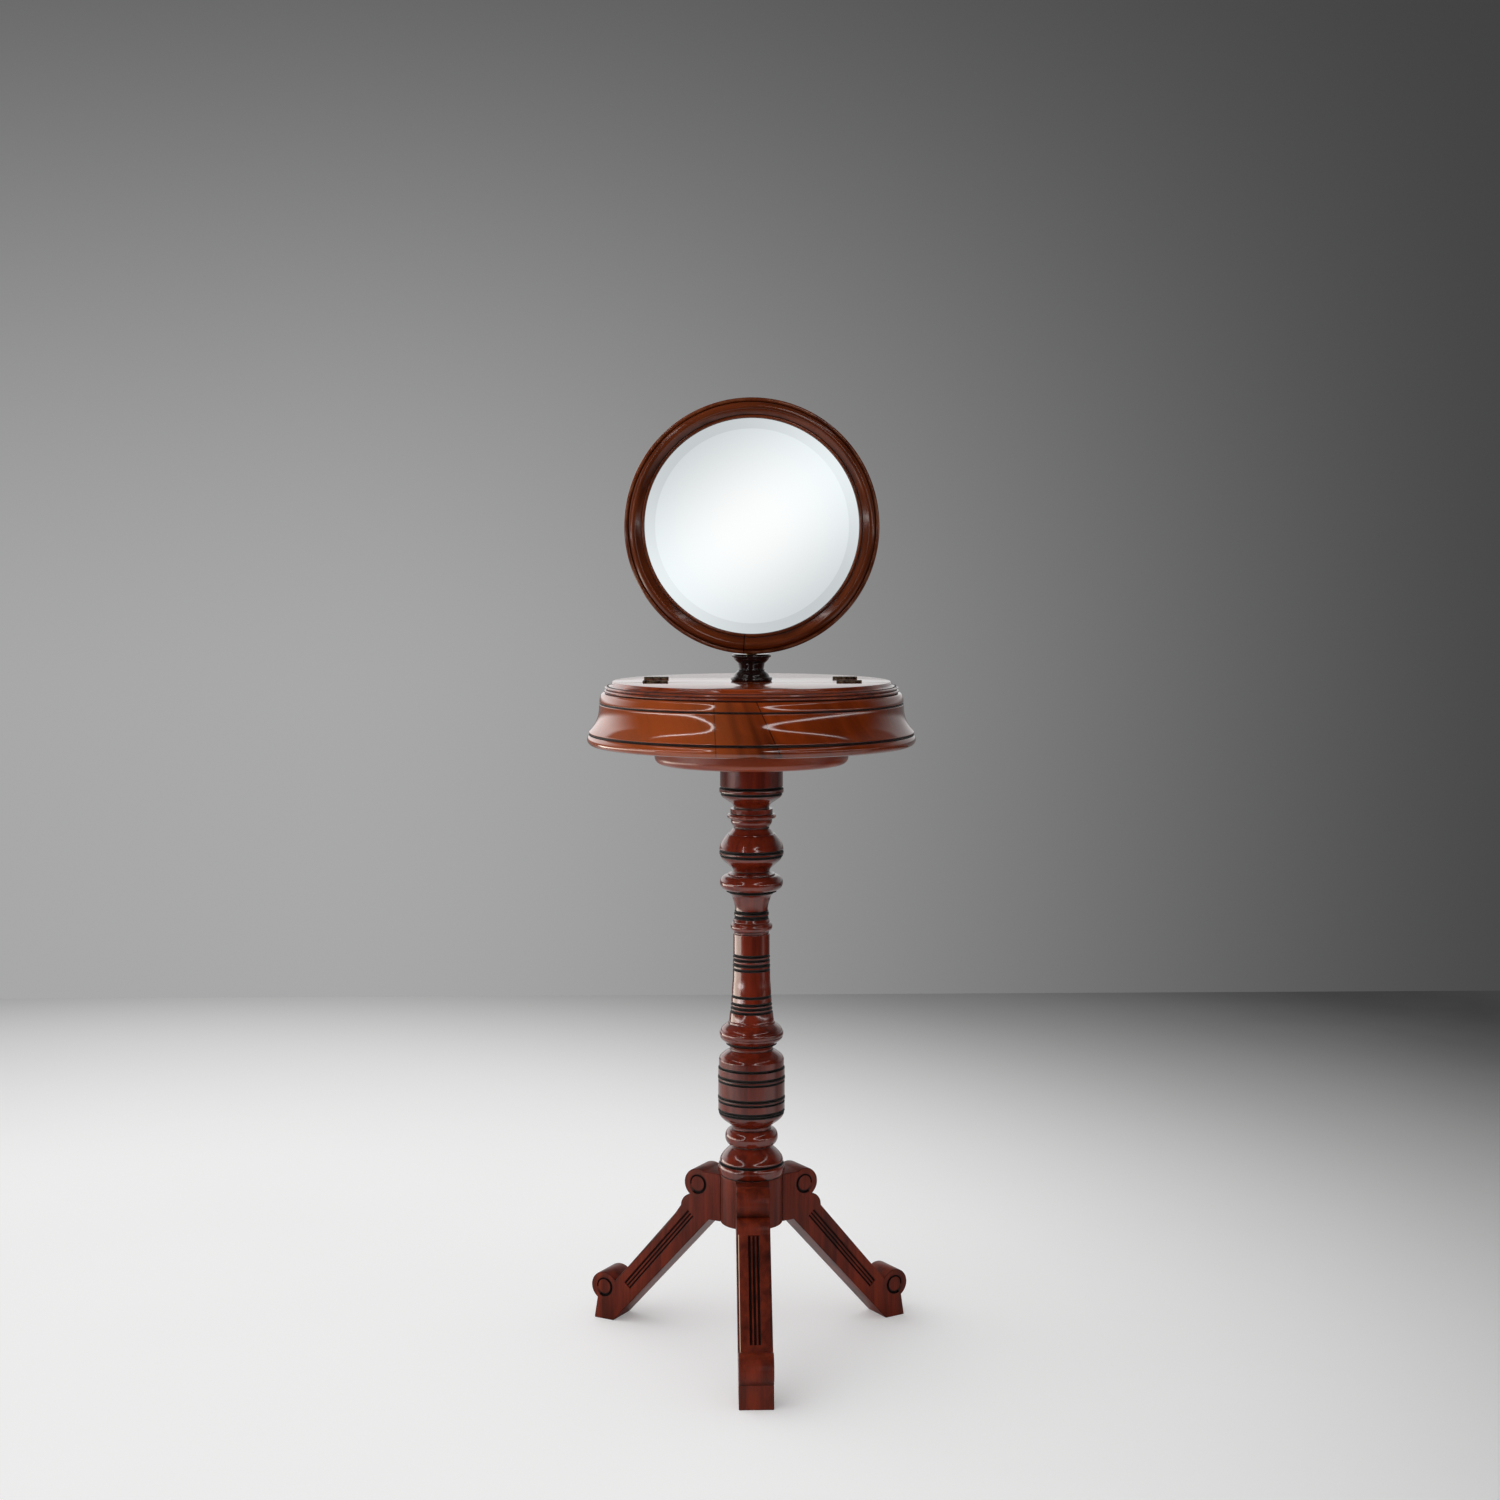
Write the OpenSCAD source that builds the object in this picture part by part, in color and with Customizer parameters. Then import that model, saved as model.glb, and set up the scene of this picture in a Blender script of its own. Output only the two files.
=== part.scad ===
// Free-standing shaving stand: a round mirror on a rod that slides in a turned column,
// with a round two-lidded case and three scrolled legs.
// Millimetres, +Z up. The origin is the point of the floor under the column's axis.
// The mirror and the front leg face -Y.

/* [Legs and hub] */
// Height of the hub's flat underside above the floor
hub_lift = 164; // [150:1:180]
// Radius of the hub that the legs are fixed to
hub_r = 41; // [38:0.5:44]
// Height of the hub
hub_h = 65; // [60:1:72]
// Width of the stock that each leg is cut from
leg_w = 43.5; // [39:0.5:46]
// Reach of a leg, from the column's axis to the outermost point of its foot scroll
leg_reach = 238; // [220:1:260]
// Depth of a leg's straight limb where it leaves the swell, square to its slope
limb_depth = 40; // [36:0.5:42]
// Radius of the scrolls at both ends of a leg
scroll_r = 20; // [18:0.5:21]
// Distance of the upper scroll's centre outside the hub
upper_scroll_out = 29; // [27:0.5:32]
// Depth of the upper scroll's centre below the top of the leg
upper_scroll_drop = 17; // [16:0.5:19]
// Height of the foot scroll's centre above the floor
foot_scroll_z = 46; // [42:1:50]
// Radius of the swell under the upper scroll
swell_r = 17; // [15:0.5:18]
// Distance of the sole's outer edge inside the reach of the leg
toe_inset = 4; // [3:0.5:6]
// Length of a leg's flat sole
sole_l = 30; // [26:0.5:34]
// Radius of a volute groove's centreline where it starts
volute_r = 12.8; // [11:0.1:14]
// Width of a volute groove where it starts
volute_w = 3.8; // [3:0.1:4.4]
// Depth of a volute groove
volute_d = 2.2; // [1.5:0.1:3]
// Width of a flute on the front of a leg
front_flute_w = 3.4; // [2.6:0.1:3.8]
// Width of a flute on the sides of a leg
side_flute_w = 2.6; // [2:0.1:3]
// Width of the ridge between two flutes
flute_ridge = 1.9; // [1.4:0.1:2.4]
// Depth of the sunk field that holds the flutes
field_d = 0.9; // [0.5:0.1:1.3]
// Distance of a side field below the limb's upper edge
side_field_drop = 10.5; // [9:0.5:12]
// Radius of a leg dowel
dowel_r = 5; // [4:0.5:6]
// Length of a leg dowel
dowel_l = 36; // [30:1:38]
// Radius of the tenon at the foot of the column
foot_tenon_r = 16; // [13:0.5:17]
// Length of the tenon at the foot of the column
foot_tenon_l = 45; // [38:1:52]

/* [Column] */
// Radius of the ring at the foot of the column
base_ring_r = 44.3; // [43:0.1:46]
// Radius of the vase above that ring
vase_r = 42; // [40:0.5:43]
// Radius of the barrel
barrel_r = 43.9; // [42:0.1:46]
// Height of the barrel between its end grooves
barrel_h = 62.5; // [56:0.5:72]
// Radius of the knop above the barrel
lower_knop_r = 42; // [39:0.5:44]
// Radius of the slender shaft
shaft_r = 23.9; // [23:0.1:26]
// Height of the plain stretch of the shaft
shaft_h = 26.8; // [20:0.2:36]
// Radius of the knop above the shaft
upper_knop_r = 41.3; // [38:0.1:43]
// Radius of the bulb
bulb_r = 42; // [40:0.5:44]
// Radius of the thin disc above the bulb
disc_r = 32; // [30:0.5:36]
// Radius of the plain block at the top of the column
block_r = 41; // [38:0.5:44]
// Height of the plain block
block_h = 30; // [24:1:36]
// Width of a turned groove
groove_w = 2.4; // [1.8:0.1:3]
// Depth of a turned groove
groove_d = 1.6; // [1:0.1:2]
// Height of the turned part of the column, from the hub to the disc under the case
column_h = 546; // [520:1:580]
// Radius of the tenon at the top of the column
top_tenon_r = 22; // [20:0.5:26]
// Length of the tenon at the top of the column
top_tenon_l = 16; // [12:1:20]

/* [Case] */
// Radius of the disc under the case
under_disc_r = 126; // [115:1:140]
// Height of that disc below the case
under_disc_h = 25; // [20:1:30]
// Radius of the disc's rounded lower edge
under_disc_round = 9; // [6:0.5:12]
// Greatest radius of the case, at its bottom bead
case_r = 213.3; // [207:0.1:220]
// Distance of the case's top inside its greatest radius
case_flare = 19.8; // [17.5:0.1:22]
// Height of the bottom bead's ring
bead_h = 15; // [13:0.5:18]
// Height of the case side above the bottom bead
side_h = 52; // [46:1:64]
// Thickness of the case side at its top
case_wall = 13.5; // [11:0.5:16]
// Distance of the case floor's edge inside the greatest radius
floor_inset = 23.3; // [20.5:0.1:26]
// Width of the ledge in the bottom bead that carries the floor
ledge_w = 4.5; // [3.5:0.5:5.5]
// Thickness of the case floor
floor_t = 12; // [9:0.5:13]
// Thickness of a partition under the fixed strip
partition_t = 8; // [6:0.5:10]

/* [Lid] */
// Thickness of the lid boards
lid_t = 15; // [13:0.5:18]
// Distance of the lid's edge inside the top of the case
lid_inset = 2.5; // [1:0.1:4]
// Width of the moulded edge round the lid's flat top
lid_edge_w = 11; // [9:0.5:14]
// Width of the fixed strip between the hinge lines
strip_w = 80; // [74:1:86]
// Gap between the strip and each lid
lid_gap = 0.8; // [0.5:0.1:1.2]
// Gap between a closed lid and the case side under it
rest_gap = 0.2; // [0.15:0.05:0.5]

/* [Hinges] */
// Distance of each hinge's middle from the stand's middle
hinge_x = 124; // [110:1:135]
// Length of a hinge
hinge_l = 32; // [28:1:38]
// Radius of a hinge knuckle
knuckle_r = 2.3; // [2:0.1:2.6]
// Height of the hinge axis above the lid's top
hinge_rise = 0.9; // [0.7:0.1:1.2]
// Thickness of a hinge leaf
leaf_t = 1.2; // [0.9:0.1:1.4]
// Depth of a hinge leaf below the hinge axis
leaf_d = 12; // [10:0.5:13]
// Radius of a hinge pin
hinge_pin_r = 1.1; // [0.9:0.05:1.2]
// Radius of the shank of a hinge screw
hinge_screw_r = 1.1; // [0.9:0.1:1.3]
// Length of a hinge screw
hinge_screw_l = 11; // [8:0.5:14]

/* [Collar] */
// Radius of the collar's base on the strip
collar_base_r = 27; // [25:0.5:30]
// Radius of the collar's waist
collar_waist_r = 16; // [15:0.5:18]
// Radius of the collar's top ring
collar_top_r = 25.5; // [23:0.5:28]
// Height of the collar above the strip
collar_h = 35.2; // [32:0.2:38]
// Radius of the collar's tenon in the strip
collar_tenon_r = 15; // [13.5:0.5:17]

/* [Rod] */
// Radius of the sliding rod
rod_r = 7; // [6:0.5:8]
// Greatest travel of the rod
rod_travel = 300; // [240:5:300]
// Wall of the friction sleeve in the collar
sleeve_wall = 3; // [2:0.5:4]
// Wall of the guide bush at the top of the column
bush_wall = 6; // [5:0.5:6.5]
// Length of the guide bush at the top of the column
bush_l = 40; // [32:1:44]
// Radius of the stop ring at the foot of the rod
stop_r = 9.5; // [9:0.1:9.8]
// Height of the stop ring
stop_h = 8; // [6:0.5:12]
// Radius of the hollow that the stop ring runs in
hollow_r = 10; // [9.9:0.1:10.6]
// Radius of the spigot at the rod's top
spigot_r = 5; // [4:0.25:5.5]
// Height of the spigot
spigot_h = 12; // [10:0.5:14]

/* [Swivel head] */
// Gap between the collar's top and the lowered mirror frame
mirror_clear = 0.6; // [0.5:0.1:11]
// Radius of the head's socket
head_r = 9; // [8:0.5:10]
// Thickness of a fork ear
ear_t = 3; // [2.5:0.25:4]
// Radius of the ears round the tilt bolt
ear_r = 9; // [8:0.5:9.5]
// Width of the lug between the ears
lug_w = 10; // [9:0.5:12]
// Thickness of a friction washer
washer_t = 1; // [0.8:0.1:1.4]
// Radius of a friction washer
washer_r = 7; // [6:0.25:7.5]
// Radius of the tilt bolt
tilt_r = 3; // [2.5:0.25:3.5]

/* [Mirror] */
// Outer radius of the mirror frame
frame_r = 163.2; // [155:0.1:163.5]
// Depth of the mirror frame from front to back
frame_t = 17.7; // [17.2:0.1:18.7]
// Distance of the frame's back in front of the rod's axis
frame_back = 16; // [15.5:0.1:17]
// Width of the outer bead of the frame
outer_bead_w = 5.7; // [4.5:0.1:7]
// Width of the broad convex band of the frame
band_w = 9.8; // [8.5:0.1:11]
// Width of the cove inside the band
cove_w = 6.5; // [5.5:0.1:7.5]
// Width of the lip against the glass
lip_w = 3.7; // [3:0.1:4.5]
// Width of the rebate that holds the glass
rebate_w = 6; // [4:0.5:7]
// Depth of the rebate from the frame's back
rebate_d = 10.5; // [10:0.1:11]
// Thickness of the mirror plate
glass_t = 5; // [4:0.5:5.5]
// Width of the bevel that shows inside the lip
bevel_w = 13.8; // [11:0.1:20]
// Drop of the bevel at the plate's edge
bevel_drop = 1.8; // [1.2:0.1:2.4]
// Thickness of the back board at its edge
board_t = 4; // [3:0.5:4.5]
// Radius of the back board's raised field
board_field_r = 120; // [100:1:128]
// Height of the back board's raised field
board_field_t = 4; // [3:0.25:4.25]
// Radius of the plate that carries the lug
plate_r = 30; // [26:1:36]
// Thickness of that plate
plate_t = 2.4; // [2:0.1:2.8]

/* [Hidden] */
$fn = 96;
running = 0.05;
glue_line = 0.1;
slack = 0.3;

// Colours of the woods and metals
mahogany = [0.36, 0.13, 0.07];
veneer = [0.58, 0.24, 0.09];
inner_wood = [0.50, 0.33, 0.20];
ebony = [0.06, 0.04, 0.04];
old_brass = [0.30, 0.24, 0.16];
bright_brass = [0.72, 0.56, 0.30];
steel = [0.55, 0.55, 0.56];
silvered = [0.86, 0.90, 0.91];

// Outline helpers: each gives points [height, radius] that start at height 0
function straight(h, r) = [[0, r], [h, r]];
function taper(h, r0, r1) = [[0, r0], [h, r1]];
function bead(h, root, peak, n = 8) =
    [for (i = [0:n]) [h * (1 - cos(180 * i / n)) / 2, root + (peak - root) * sin(180 * i / n)]];
function swell(h, r0, r1, n = 6) = [for (i = [0:n]) [h * i / n, r0 + (r1 - r0) * sin(90 * i / n)]];
function fall(h, r0, r1, n = 6) = [for (i = [0:n]) [h * i / n, r1 + (r0 - r1) * cos(90 * i / n)]];
function flare(h, r0, r1, n = 5) = [for (i = [0:n]) [h * i / n, r0 + (r1 - r0) * pow(i / n, 2)]];
function ogee(h, r0, r1, n = 8) =
    [for (i = [0:n]) [h * i / n, r0 + (r1 - r0) * (1 - cos(180 * i / n)) / 2]];
function groove(r) = [[0, r], [groove_w * 0.3, r - groove_d], [groove_w * 0.7, r - groove_d], [groove_w, r]];

// Height of a list of turned elements, and its outline with each element on top of the last
function element_h(e) = e[len(e) - 1][0];
function total_h(list, i = 0) = i >= len(list) ? 0 : element_h(list[i]) + total_h(list, i + 1);
function stacked(list, z = 0, i = 0) =
    i >= len(list) ? []
    : concat([for (p = list[i]) [p[1], z + p[0]]], stacked(list, z + element_h(list[i]), i + 1));

// Turned elements of the column, from the hub up: u is 1 mm at the column's own height
grooves = 17;
plain_h = column_h - barrel_h - shaft_h - block_h - grooves * groove_w;
u = plain_h / 385.9;
foot_turnings = [
    straight(1.5 * u, base_ring_r - 3.2), bead(14.5 * u, base_ring_r - 2.4, base_ring_r),
    groove(vase_r - 1), fall(20.5 * u, vase_r, vase_r * 0.626), straight(1.4 * u, vase_r * 0.626),
    bead(22 * u, vase_r * 0.633, vase_r * 0.831), straight(4.5 * u, vase_r * 0.614),
    swell(17.2 * u, vase_r * 0.617, barrel_r - 0.8)
];
double_groove = [groove(barrel_r), straight(3.4, barrel_r + 0.4), groove(barrel_r)];
plain_barrel_h = barrel_h - 2 * total_h(double_groove) - 3 * groove_w;
barrel_turnings = concat(
    [groove(barrel_r - 0.6), straight(plain_barrel_h * 0.023, barrel_r), groove(barrel_r)],
    [straight(plain_barrel_h * 0.25, barrel_r)], double_groove,
    [straight(plain_barrel_h * 0.483, barrel_r)], double_groove,
    [straight(plain_barrel_h * 0.244, barrel_r), groove(barrel_r - 0.8)]
);
lower_knop_turnings = [
    straight(9 * u, barrel_r - 1.1), fall(12.4 * u, barrel_r - 1.4, lower_knop_r * 0.681),
    straight(2.4 * u, lower_knop_r * 0.671), flare(5 * u, lower_knop_r * 0.676, lower_knop_r * 0.786),
    groove(lower_knop_r * 0.8), swell(8 * u, lower_knop_r * 0.81, lower_knop_r - 0.8),
    bead(8 * u, lower_knop_r - 1.6, lower_knop_r),
    fall(9.4 * u, lower_knop_r - 1.8, lower_knop_r * 0.738), straight(2.9 * u, lower_knop_r * 0.729)
];
shaft_turnings = [
    fall(12.3 * u, shaft_r * 1.23, shaft_r + 4.1), groove(shaft_r + 3.6),
    bead(3.1 * u, shaft_r + 3, shaft_r + 3.7), groove(shaft_r + 3.1),
    bead(3.1 * u, shaft_r + 2.6, shaft_r + 3.3), groove(shaft_r + 2.8),
    taper(7.1 * u, shaft_r + 2.8, shaft_r + 2.2), groove(shaft_r + 2.1),
    fall(20.8 * u, shaft_r + 2, shaft_r + 0.6), straight(12.3 * u, shaft_r + 0.6), groove(shaft_r + 0.6),
    straight(4.1 * u, shaft_r + 0.6), groove(shaft_r + 0.5),
    bead(4.1 * u, shaft_r - 0.2, shaft_r + 0.5), groove(shaft_r + 0.4),
    bead(3.1 * u, shaft_r - 0.2, shaft_r + 0.5), groove(shaft_r + 0.3),
    straight(shaft_h, shaft_r), flare(4 * u, shaft_r - 1.2, shaft_r - 0.4)
];
neck_turnings = [
    bead(11 * u, shaft_r - 0.4, shaft_r + 3.5), fall(6.8 * u, shaft_r, shaft_r - 2.2), groove(shaft_r - 1.4),
    straight(3.6 * u, shaft_r - 1.1), groove(shaft_r - 1.4), flare(15.8 * u, shaft_r - 2.6, shaft_r + 0.6),
    flare(9.6 * u, shaft_r + 0.7, upper_knop_r * 0.763), groove(upper_knop_r * 0.799)
];
upper_knop_turnings = [
    bead(19.5 * u, upper_knop_r * 0.785, upper_knop_r), straight(2.2 * u, upper_knop_r * 0.736),
    taper(2.3 * u, upper_knop_r * 0.692, upper_knop_r * 0.571),
    ogee(20.6 * u, upper_knop_r * 0.569, bulb_r - 2)
];
bulb_turnings = [
    groove(bulb_r - 0.8), straight(3.8 * u, bulb_r), groove(bulb_r), straight(1 * u, bulb_r),
    fall(18.6 * u, bulb_r - 0.3, bulb_r * 0.757), straight(1.2 * u, bulb_r * 0.733),
    taper(7 * u, bulb_r * 0.69, bulb_r * 0.576), straight(2.4 * u, bulb_r * 0.552)
];
crown_turnings = [
    swell(7 * u, disc_r * 0.725, disc_r * 0.844), straight(3.6 * u, disc_r * 0.844),
    bead(6 * u, disc_r - 3, disc_r), straight(6.8 * u, disc_r * 0.863),
    taper(2.8 * u, disc_r * 0.725, disc_r * 0.719), ogee(16 * u, disc_r * 0.731, block_r - 1),
    groove(block_r - 0.6), bead(5.6 * u, block_r + 0.4, block_r + 1), groove(block_r - 0.6),
    straight(block_h, block_r)
];
turnings = concat(foot_turnings, barrel_turnings, lower_knop_turnings, shaft_turnings,
    neck_turnings, upper_knop_turnings, bulb_turnings, crown_turnings);

// Heights, from the floor up
hub_top = hub_lift + hub_h;
column_top = hub_top + column_h;
case_z = column_top + under_disc_h;
rim_lip = 3;
floor_z = case_z + rim_lip;
side_z = case_z + bead_h;
case_top = side_z + side_h;
strip_top = case_top + lid_t;
collar_top = strip_top + collar_h;
mirror_z = collar_top + frame_r + mirror_clear;

// The collar's tenon and the sleeve in it end a little under the strip
collar_foot = 4;
sleeve_r = rod_r + running + sleeve_wall;

// Rod: its stop ring meets the guide bush after the full travel
bush_r = rod_r + running + bush_wall;
bush_z = column_top + top_tenon_l - 1 - bush_l;
stop_top = bush_z - rod_travel - slack;
rod_foot = stop_top - stop_h;
rod_shoulder = mirror_z - 2 * ear_r - spigot_h;
socket_cap = 2.4;
head_base = rod_shoulder + slack;
socket_end = rod_shoulder + spigot_h + slack;
head_top = socket_end + socket_cap;
stop_pin_r = 1.25;
swivel_shank_r = 2;
swivel_shank_l = 11;

// Legs: the limb's upper edge runs from under the swell to the foot scroll
leg_top = hub_top - 1;
upper_scroll = [hub_r + upper_scroll_out, leg_top - upper_scroll_drop];
foot_scroll = [leg_reach - scroll_r, foot_scroll_z];
swell_at = upper_scroll + scroll_r * [0.45, -1.65];
limb_start = swell_at + swell_r * [cos(5), -sin(5)];
limb_end = foot_scroll - scroll_r * [0.25, 0.225];
limb_run = limb_end - limb_start;
limb_l = norm(limb_run);
limb_slope = atan2(-limb_run[1], limb_run[0]);
limb_across = limb_depth * [sin(limb_slope), cos(limb_slope)];
limb_back = limb_start - 1.76 * swell_r * limb_run / limb_l;
limb_root = limb_start - limb_across;
sole_outer = [leg_reach - toe_inset, 0];
sole_inner = sole_outer - [sole_l, 0];
toe_neck = foot_scroll + (scroll_r - 1) * [cos(55), -sin(55)];
field_edge = 0.4;
volute_draw = 2.6;
dowel_z = [hub_lift + hub_h * 0.28, hub_lift + hub_h * 0.72];

// Case, lid and hinges, from the greatest radius inwards
case_top_r = case_r - case_flare;
case_inner_r = case_top_r - case_wall;
floor_r = case_r - floor_inset;
lid_r = case_top_r - lid_inset;
lid_flat_r = lid_r - lid_edge_w;
strip_half = strip_w / 2;
hinge_y = strip_half;
hinge_z = strip_top + hinge_rise;
knuckles = 5;
knuckle_gap = 0.25;
knuckle_l = (hinge_l - (knuckles - 1) * knuckle_gap) / knuckles;
leaf_screw_x = hinge_l * 0.28;
leaf_screw_z = hinge_z - leaf_d * 0.68;
screw_head_r = hinge_screw_r * 2;

// Mirror: depths are counted forward from the frame's back
sight_r = frame_r - outer_bead_w - band_w - cove_w - lip_w;
rebate_r = sight_r + rebate_w;
glass_front = rebate_d + bevel_drop - glue_line;
glass_back = glass_front - glass_t;
board_front = glass_back - glue_line;
board_back = board_front - board_t;
field_back = board_back - board_field_t;
plate_y = -frame_back - field_back + glue_line;
back_pin_count = 8;
pivot_screw_at = plate_r * 0.72;
pivot_screw_r = 1.5;
tilt_nut_t = 4;

// Legs and hub

// The limb and the toe, in one outline, with the limb's root carried back into the block beside the hub
module limb_outline() {
    carried = 0.165;
    root = limb_root + carried * (limb_root - sole_inner);
    polygon([root, sole_inner, sole_outer, toe_neck, foot_scroll, limb_end, limb_back]);
}

module leg_outline() {
    limb_outline();
    translate([hub_r * 0.7, hub_lift]) square([upper_scroll[0] - hub_r * 0.7, hub_h - 1]);
    translate([hub_r, hub_lift]) square([swell_at[0] - hub_r, swell_at[1] + swell_r - hub_lift - 2]);
    translate(upper_scroll) circle(scroll_r);
    translate(swell_at) circle(swell_r);
    translate(foot_scroll) circle(scroll_r);
}

// A volute is a groove that winds inward and narrows, from its start under the scroll
module volute() {
    n = 18;
    translate([0, 0, -volute_d]) linear_extrude(volute_d + 1) polygon(concat(
        [for (i = [n:-1:0]) volute_edge(i / n, 1)],
        [for (i = [0:n]) volute_edge(i / n, -1)]
    ));
}

// A point on the volute groove's outer edge (side 1) or inner edge (side -1)
function volute_edge(share, side) =
    (volute_r - volute_draw * share + side * volute_w * (0.5 - 0.25 * share))
    * [cos(-60 - 310 * share), sin(-60 - 310 * share)];

function field_width(flute_w) = 3 * flute_w + 2 * flute_ridge + 2 * field_edge;

// Three flutes in a sunk field, along +X from the origin and centred on Y, cut down from Z = 0
module flutes(length, width) {
    translate([0, -field_width(width) / 2, -field_d]) cube([length, field_width(width), field_d + 1]);
    for (i = [-1:1]) translate([field_edge, i * (width + flute_ridge), -field_d])
        rotate([0, 90, 0]) cylinder(length - 2 * field_edge, width / 2, width / 2);
}

// Places its children on the limb's side, with X down the slope and Z out of the side
module on_limb_side(side) {
    translate([limb_start[0], side * leg_w / 2, limb_start[1]]) rotate([0, limb_slope, 0])
        rotate([-90 * side, 0, 0]) children();
}

module dowel_holes(clear) {
    for (z = dowel_z) translate([hub_r - dowel_l / 2, 0, z]) rotate([0, 90, 0])
        cylinder(dowel_l + clear, dowel_r + clear, dowel_r + clear);
}

module leg() {
    side_field_at = side_field_drop + field_width(side_flute_w) / 2;
    color(mahogany) difference() {
        rotate([90, 0, 0]) translate([0, 0, -leg_w / 2]) linear_extrude(leg_w) leg_outline();
        cylinder(4 * hub_top, hub_r + glue_line, hub_r + glue_line, center = true);
        dowel_holes(glue_line);
        for (side = [-1, 1]) {
            for (scroll = [upper_scroll, foot_scroll])
                translate([scroll[0], side * leg_w / 2, scroll[1]])
                    rotate([90, 0, 0]) mirror([0, 0, side > 0 ? 1 : 0]) volute();
            on_limb_side(side) translate([-4, side * side_field_at, 0])
                flutes(limb_l * 0.856, side_flute_w);
        }
        translate([limb_start[0], 0, limb_start[1]]) rotate([0, limb_slope, 0])
            translate([1, 0, 0]) flutes(limb_l * 0.81, front_flute_w);
    }
}

module leg_front() { rotate(-90) leg(); }
module leg_right() { rotate(30) leg(); }
module leg_left() { rotate(150) leg(); }

module leg_dowels() {
    color(inner_wood) for (a = [-90, 30, 150]) rotate(a) for (z = dowel_z)
        translate([hub_r - dowel_l / 2 + glue_line, 0, z]) rotate([0, 90, 0])
            cylinder(dowel_l - glue_line, dowel_r, dowel_r);
}

module hub() {
    color(mahogany) difference() {
        translate([0, 0, hub_lift]) cylinder(hub_h, hub_r, hub_r);
        translate([0, 0, hub_top - foot_tenon_l - slack])
            cylinder(foot_tenon_l + slack + 1, foot_tenon_r + glue_line, foot_tenon_r + glue_line);
        for (a = [-90, 30, 150]) rotate(a) dowel_holes(glue_line);
    }
}

// Column

module column() {
    outline = concat([[0, 0]], stacked(turnings), [[0, total_h(turnings)]]);
    color(mahogany) difference() {
        union() {
            translate([0, 0, hub_top]) rotate_extrude() polygon(outline);
            translate([0, 0, hub_top - foot_tenon_l]) cylinder(foot_tenon_l + 1, foot_tenon_r, foot_tenon_r);
            translate([0, 0, column_top - 1]) cylinder(top_tenon_l + 1, top_tenon_r, top_tenon_r);
        }
        translate([0, 0, rod_foot - slack])
            cylinder(column_top + top_tenon_l - rod_foot + 1, hollow_r, hollow_r);
        translate([0, 0, bush_z - running])
            cylinder(bush_l + top_tenon_l + 2, bush_r + glue_line, bush_r + glue_line);
    }
}

module guide_bush() {
    color(bright_brass) difference() {
        translate([0, 0, bush_z]) cylinder(bush_l, bush_r, bush_r);
        translate([0, 0, bush_z - 1]) cylinder(bush_l + 2, rod_r + running, rod_r + running);
    }
}

// Case

module under_disc() {
    disc_h = under_disc_h + rim_lip - glue_line;
    color(mahogany) difference() {
        translate([0, 0, column_top + glue_line]) rotate_extrude() difference() {
            union() {
                square([under_disc_r - under_disc_round, disc_h]);
                translate([0, under_disc_round]) square([under_disc_r, disc_h - under_disc_round]);
                translate([under_disc_r - under_disc_round, under_disc_round]) circle(under_disc_round);
            }
            translate([-2 * under_disc_r, -1]) square([2 * under_disc_r, 2 * disc_h]);
        }
        translate([0, 0, column_top - 1])
            cylinder(top_tenon_l + 1 + slack, top_tenon_r + glue_line, top_tenon_r + glue_line);
        cylinder(2 * case_top, hollow_r, hollow_r);
        disc_screw_set(glue_line);
    }
}

// Countersunk screws that hold the disc to the case floor
module disc_screw_set(clear) {
    screw_l = under_disc_h + rim_lip + floor_t - 5;
    shank_r = 2;
    countersink = 4;
    for (a = [30:60:330]) rotate(a) translate([under_disc_r * 0.78, 0, column_top + glue_line]) {
        translate([0, 0, -clear])
            cylinder(countersink + clear, 2.1 * shank_r + clear, shank_r + clear);
        translate([0, 0, 0.2 - clear])
            cylinder(screw_l + 2 * clear, shank_r + clear, shank_r + clear);
    }
}

module under_disc_screws() {
    color(old_brass) disc_screw_set(0);
}

module case_floor() {
    color(inner_wood) difference() {
        translate([0, 0, floor_z]) cylinder(floor_t, floor_r, floor_r);
        cylinder(2 * case_top, hollow_r, hollow_r);
        disc_screw_set(glue_line);
    }
}

// The bottom bead is a half round ring that the floor is let into
module base_moulding() {
    round_r = bead_h / 2;
    inner_r = floor_r - ledge_w;
    color(veneer) translate([0, 0, case_z]) rotate_extrude() difference() {
        union() {
            translate([inner_r, 0]) square([case_r - round_r - inner_r, bead_h - 1.6]);
            translate([inner_r, 0]) square([case_r - 4.2 - inner_r, bead_h]);
            translate([case_r - round_r, round_r]) circle(round_r);
        }
        translate([inner_r - 1, rim_lip]) square([ledge_w + 1 + glue_line, bead_h]);
    }
}

module case_side() {
    foot_r = case_r - 2.2;
    neck_r = case_top_r + 4;
    neck_z = side_h * 0.75;
    cove = [for (i = [0:10])
        [neck_r + (foot_r - neck_r) * pow(1 - i / 10, 2.6), 2.4 + (neck_z - 4) * i / 10]];
    color(veneer) translate([0, 0, side_z]) rotate_extrude() polygon(concat(
        [[case_inner_r, 0], [foot_r - 2, 0], [foot_r, 1]],
        cove,
        [[neck_r, neck_z - 1.2], [neck_r - 1.6, neck_z - 0.4], [neck_r - 1.6, neck_z + 0.6]],
        [for (i = [0:5]) [case_top_r - 1 + (neck_r - case_top_r + 0.6) * cos(18 * i),
            neck_z + 1.2 + (side_h - neck_z - 1.2) * sin(18 * i)]],
        [[case_inner_r, side_h]]
    ));
}

module partition(side) {
    reach = sqrt(pow(case_inner_r, 2) - pow(strip_half - 2, 2)) - glue_line;
    y = side > 0 ? strip_half - 2 - partition_t : -strip_half + 2;
    color(inner_wood) translate([-reach, y, floor_z + floor_t])
        cube([2 * reach, partition_t, case_top - floor_z - floor_t]);
}

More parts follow.
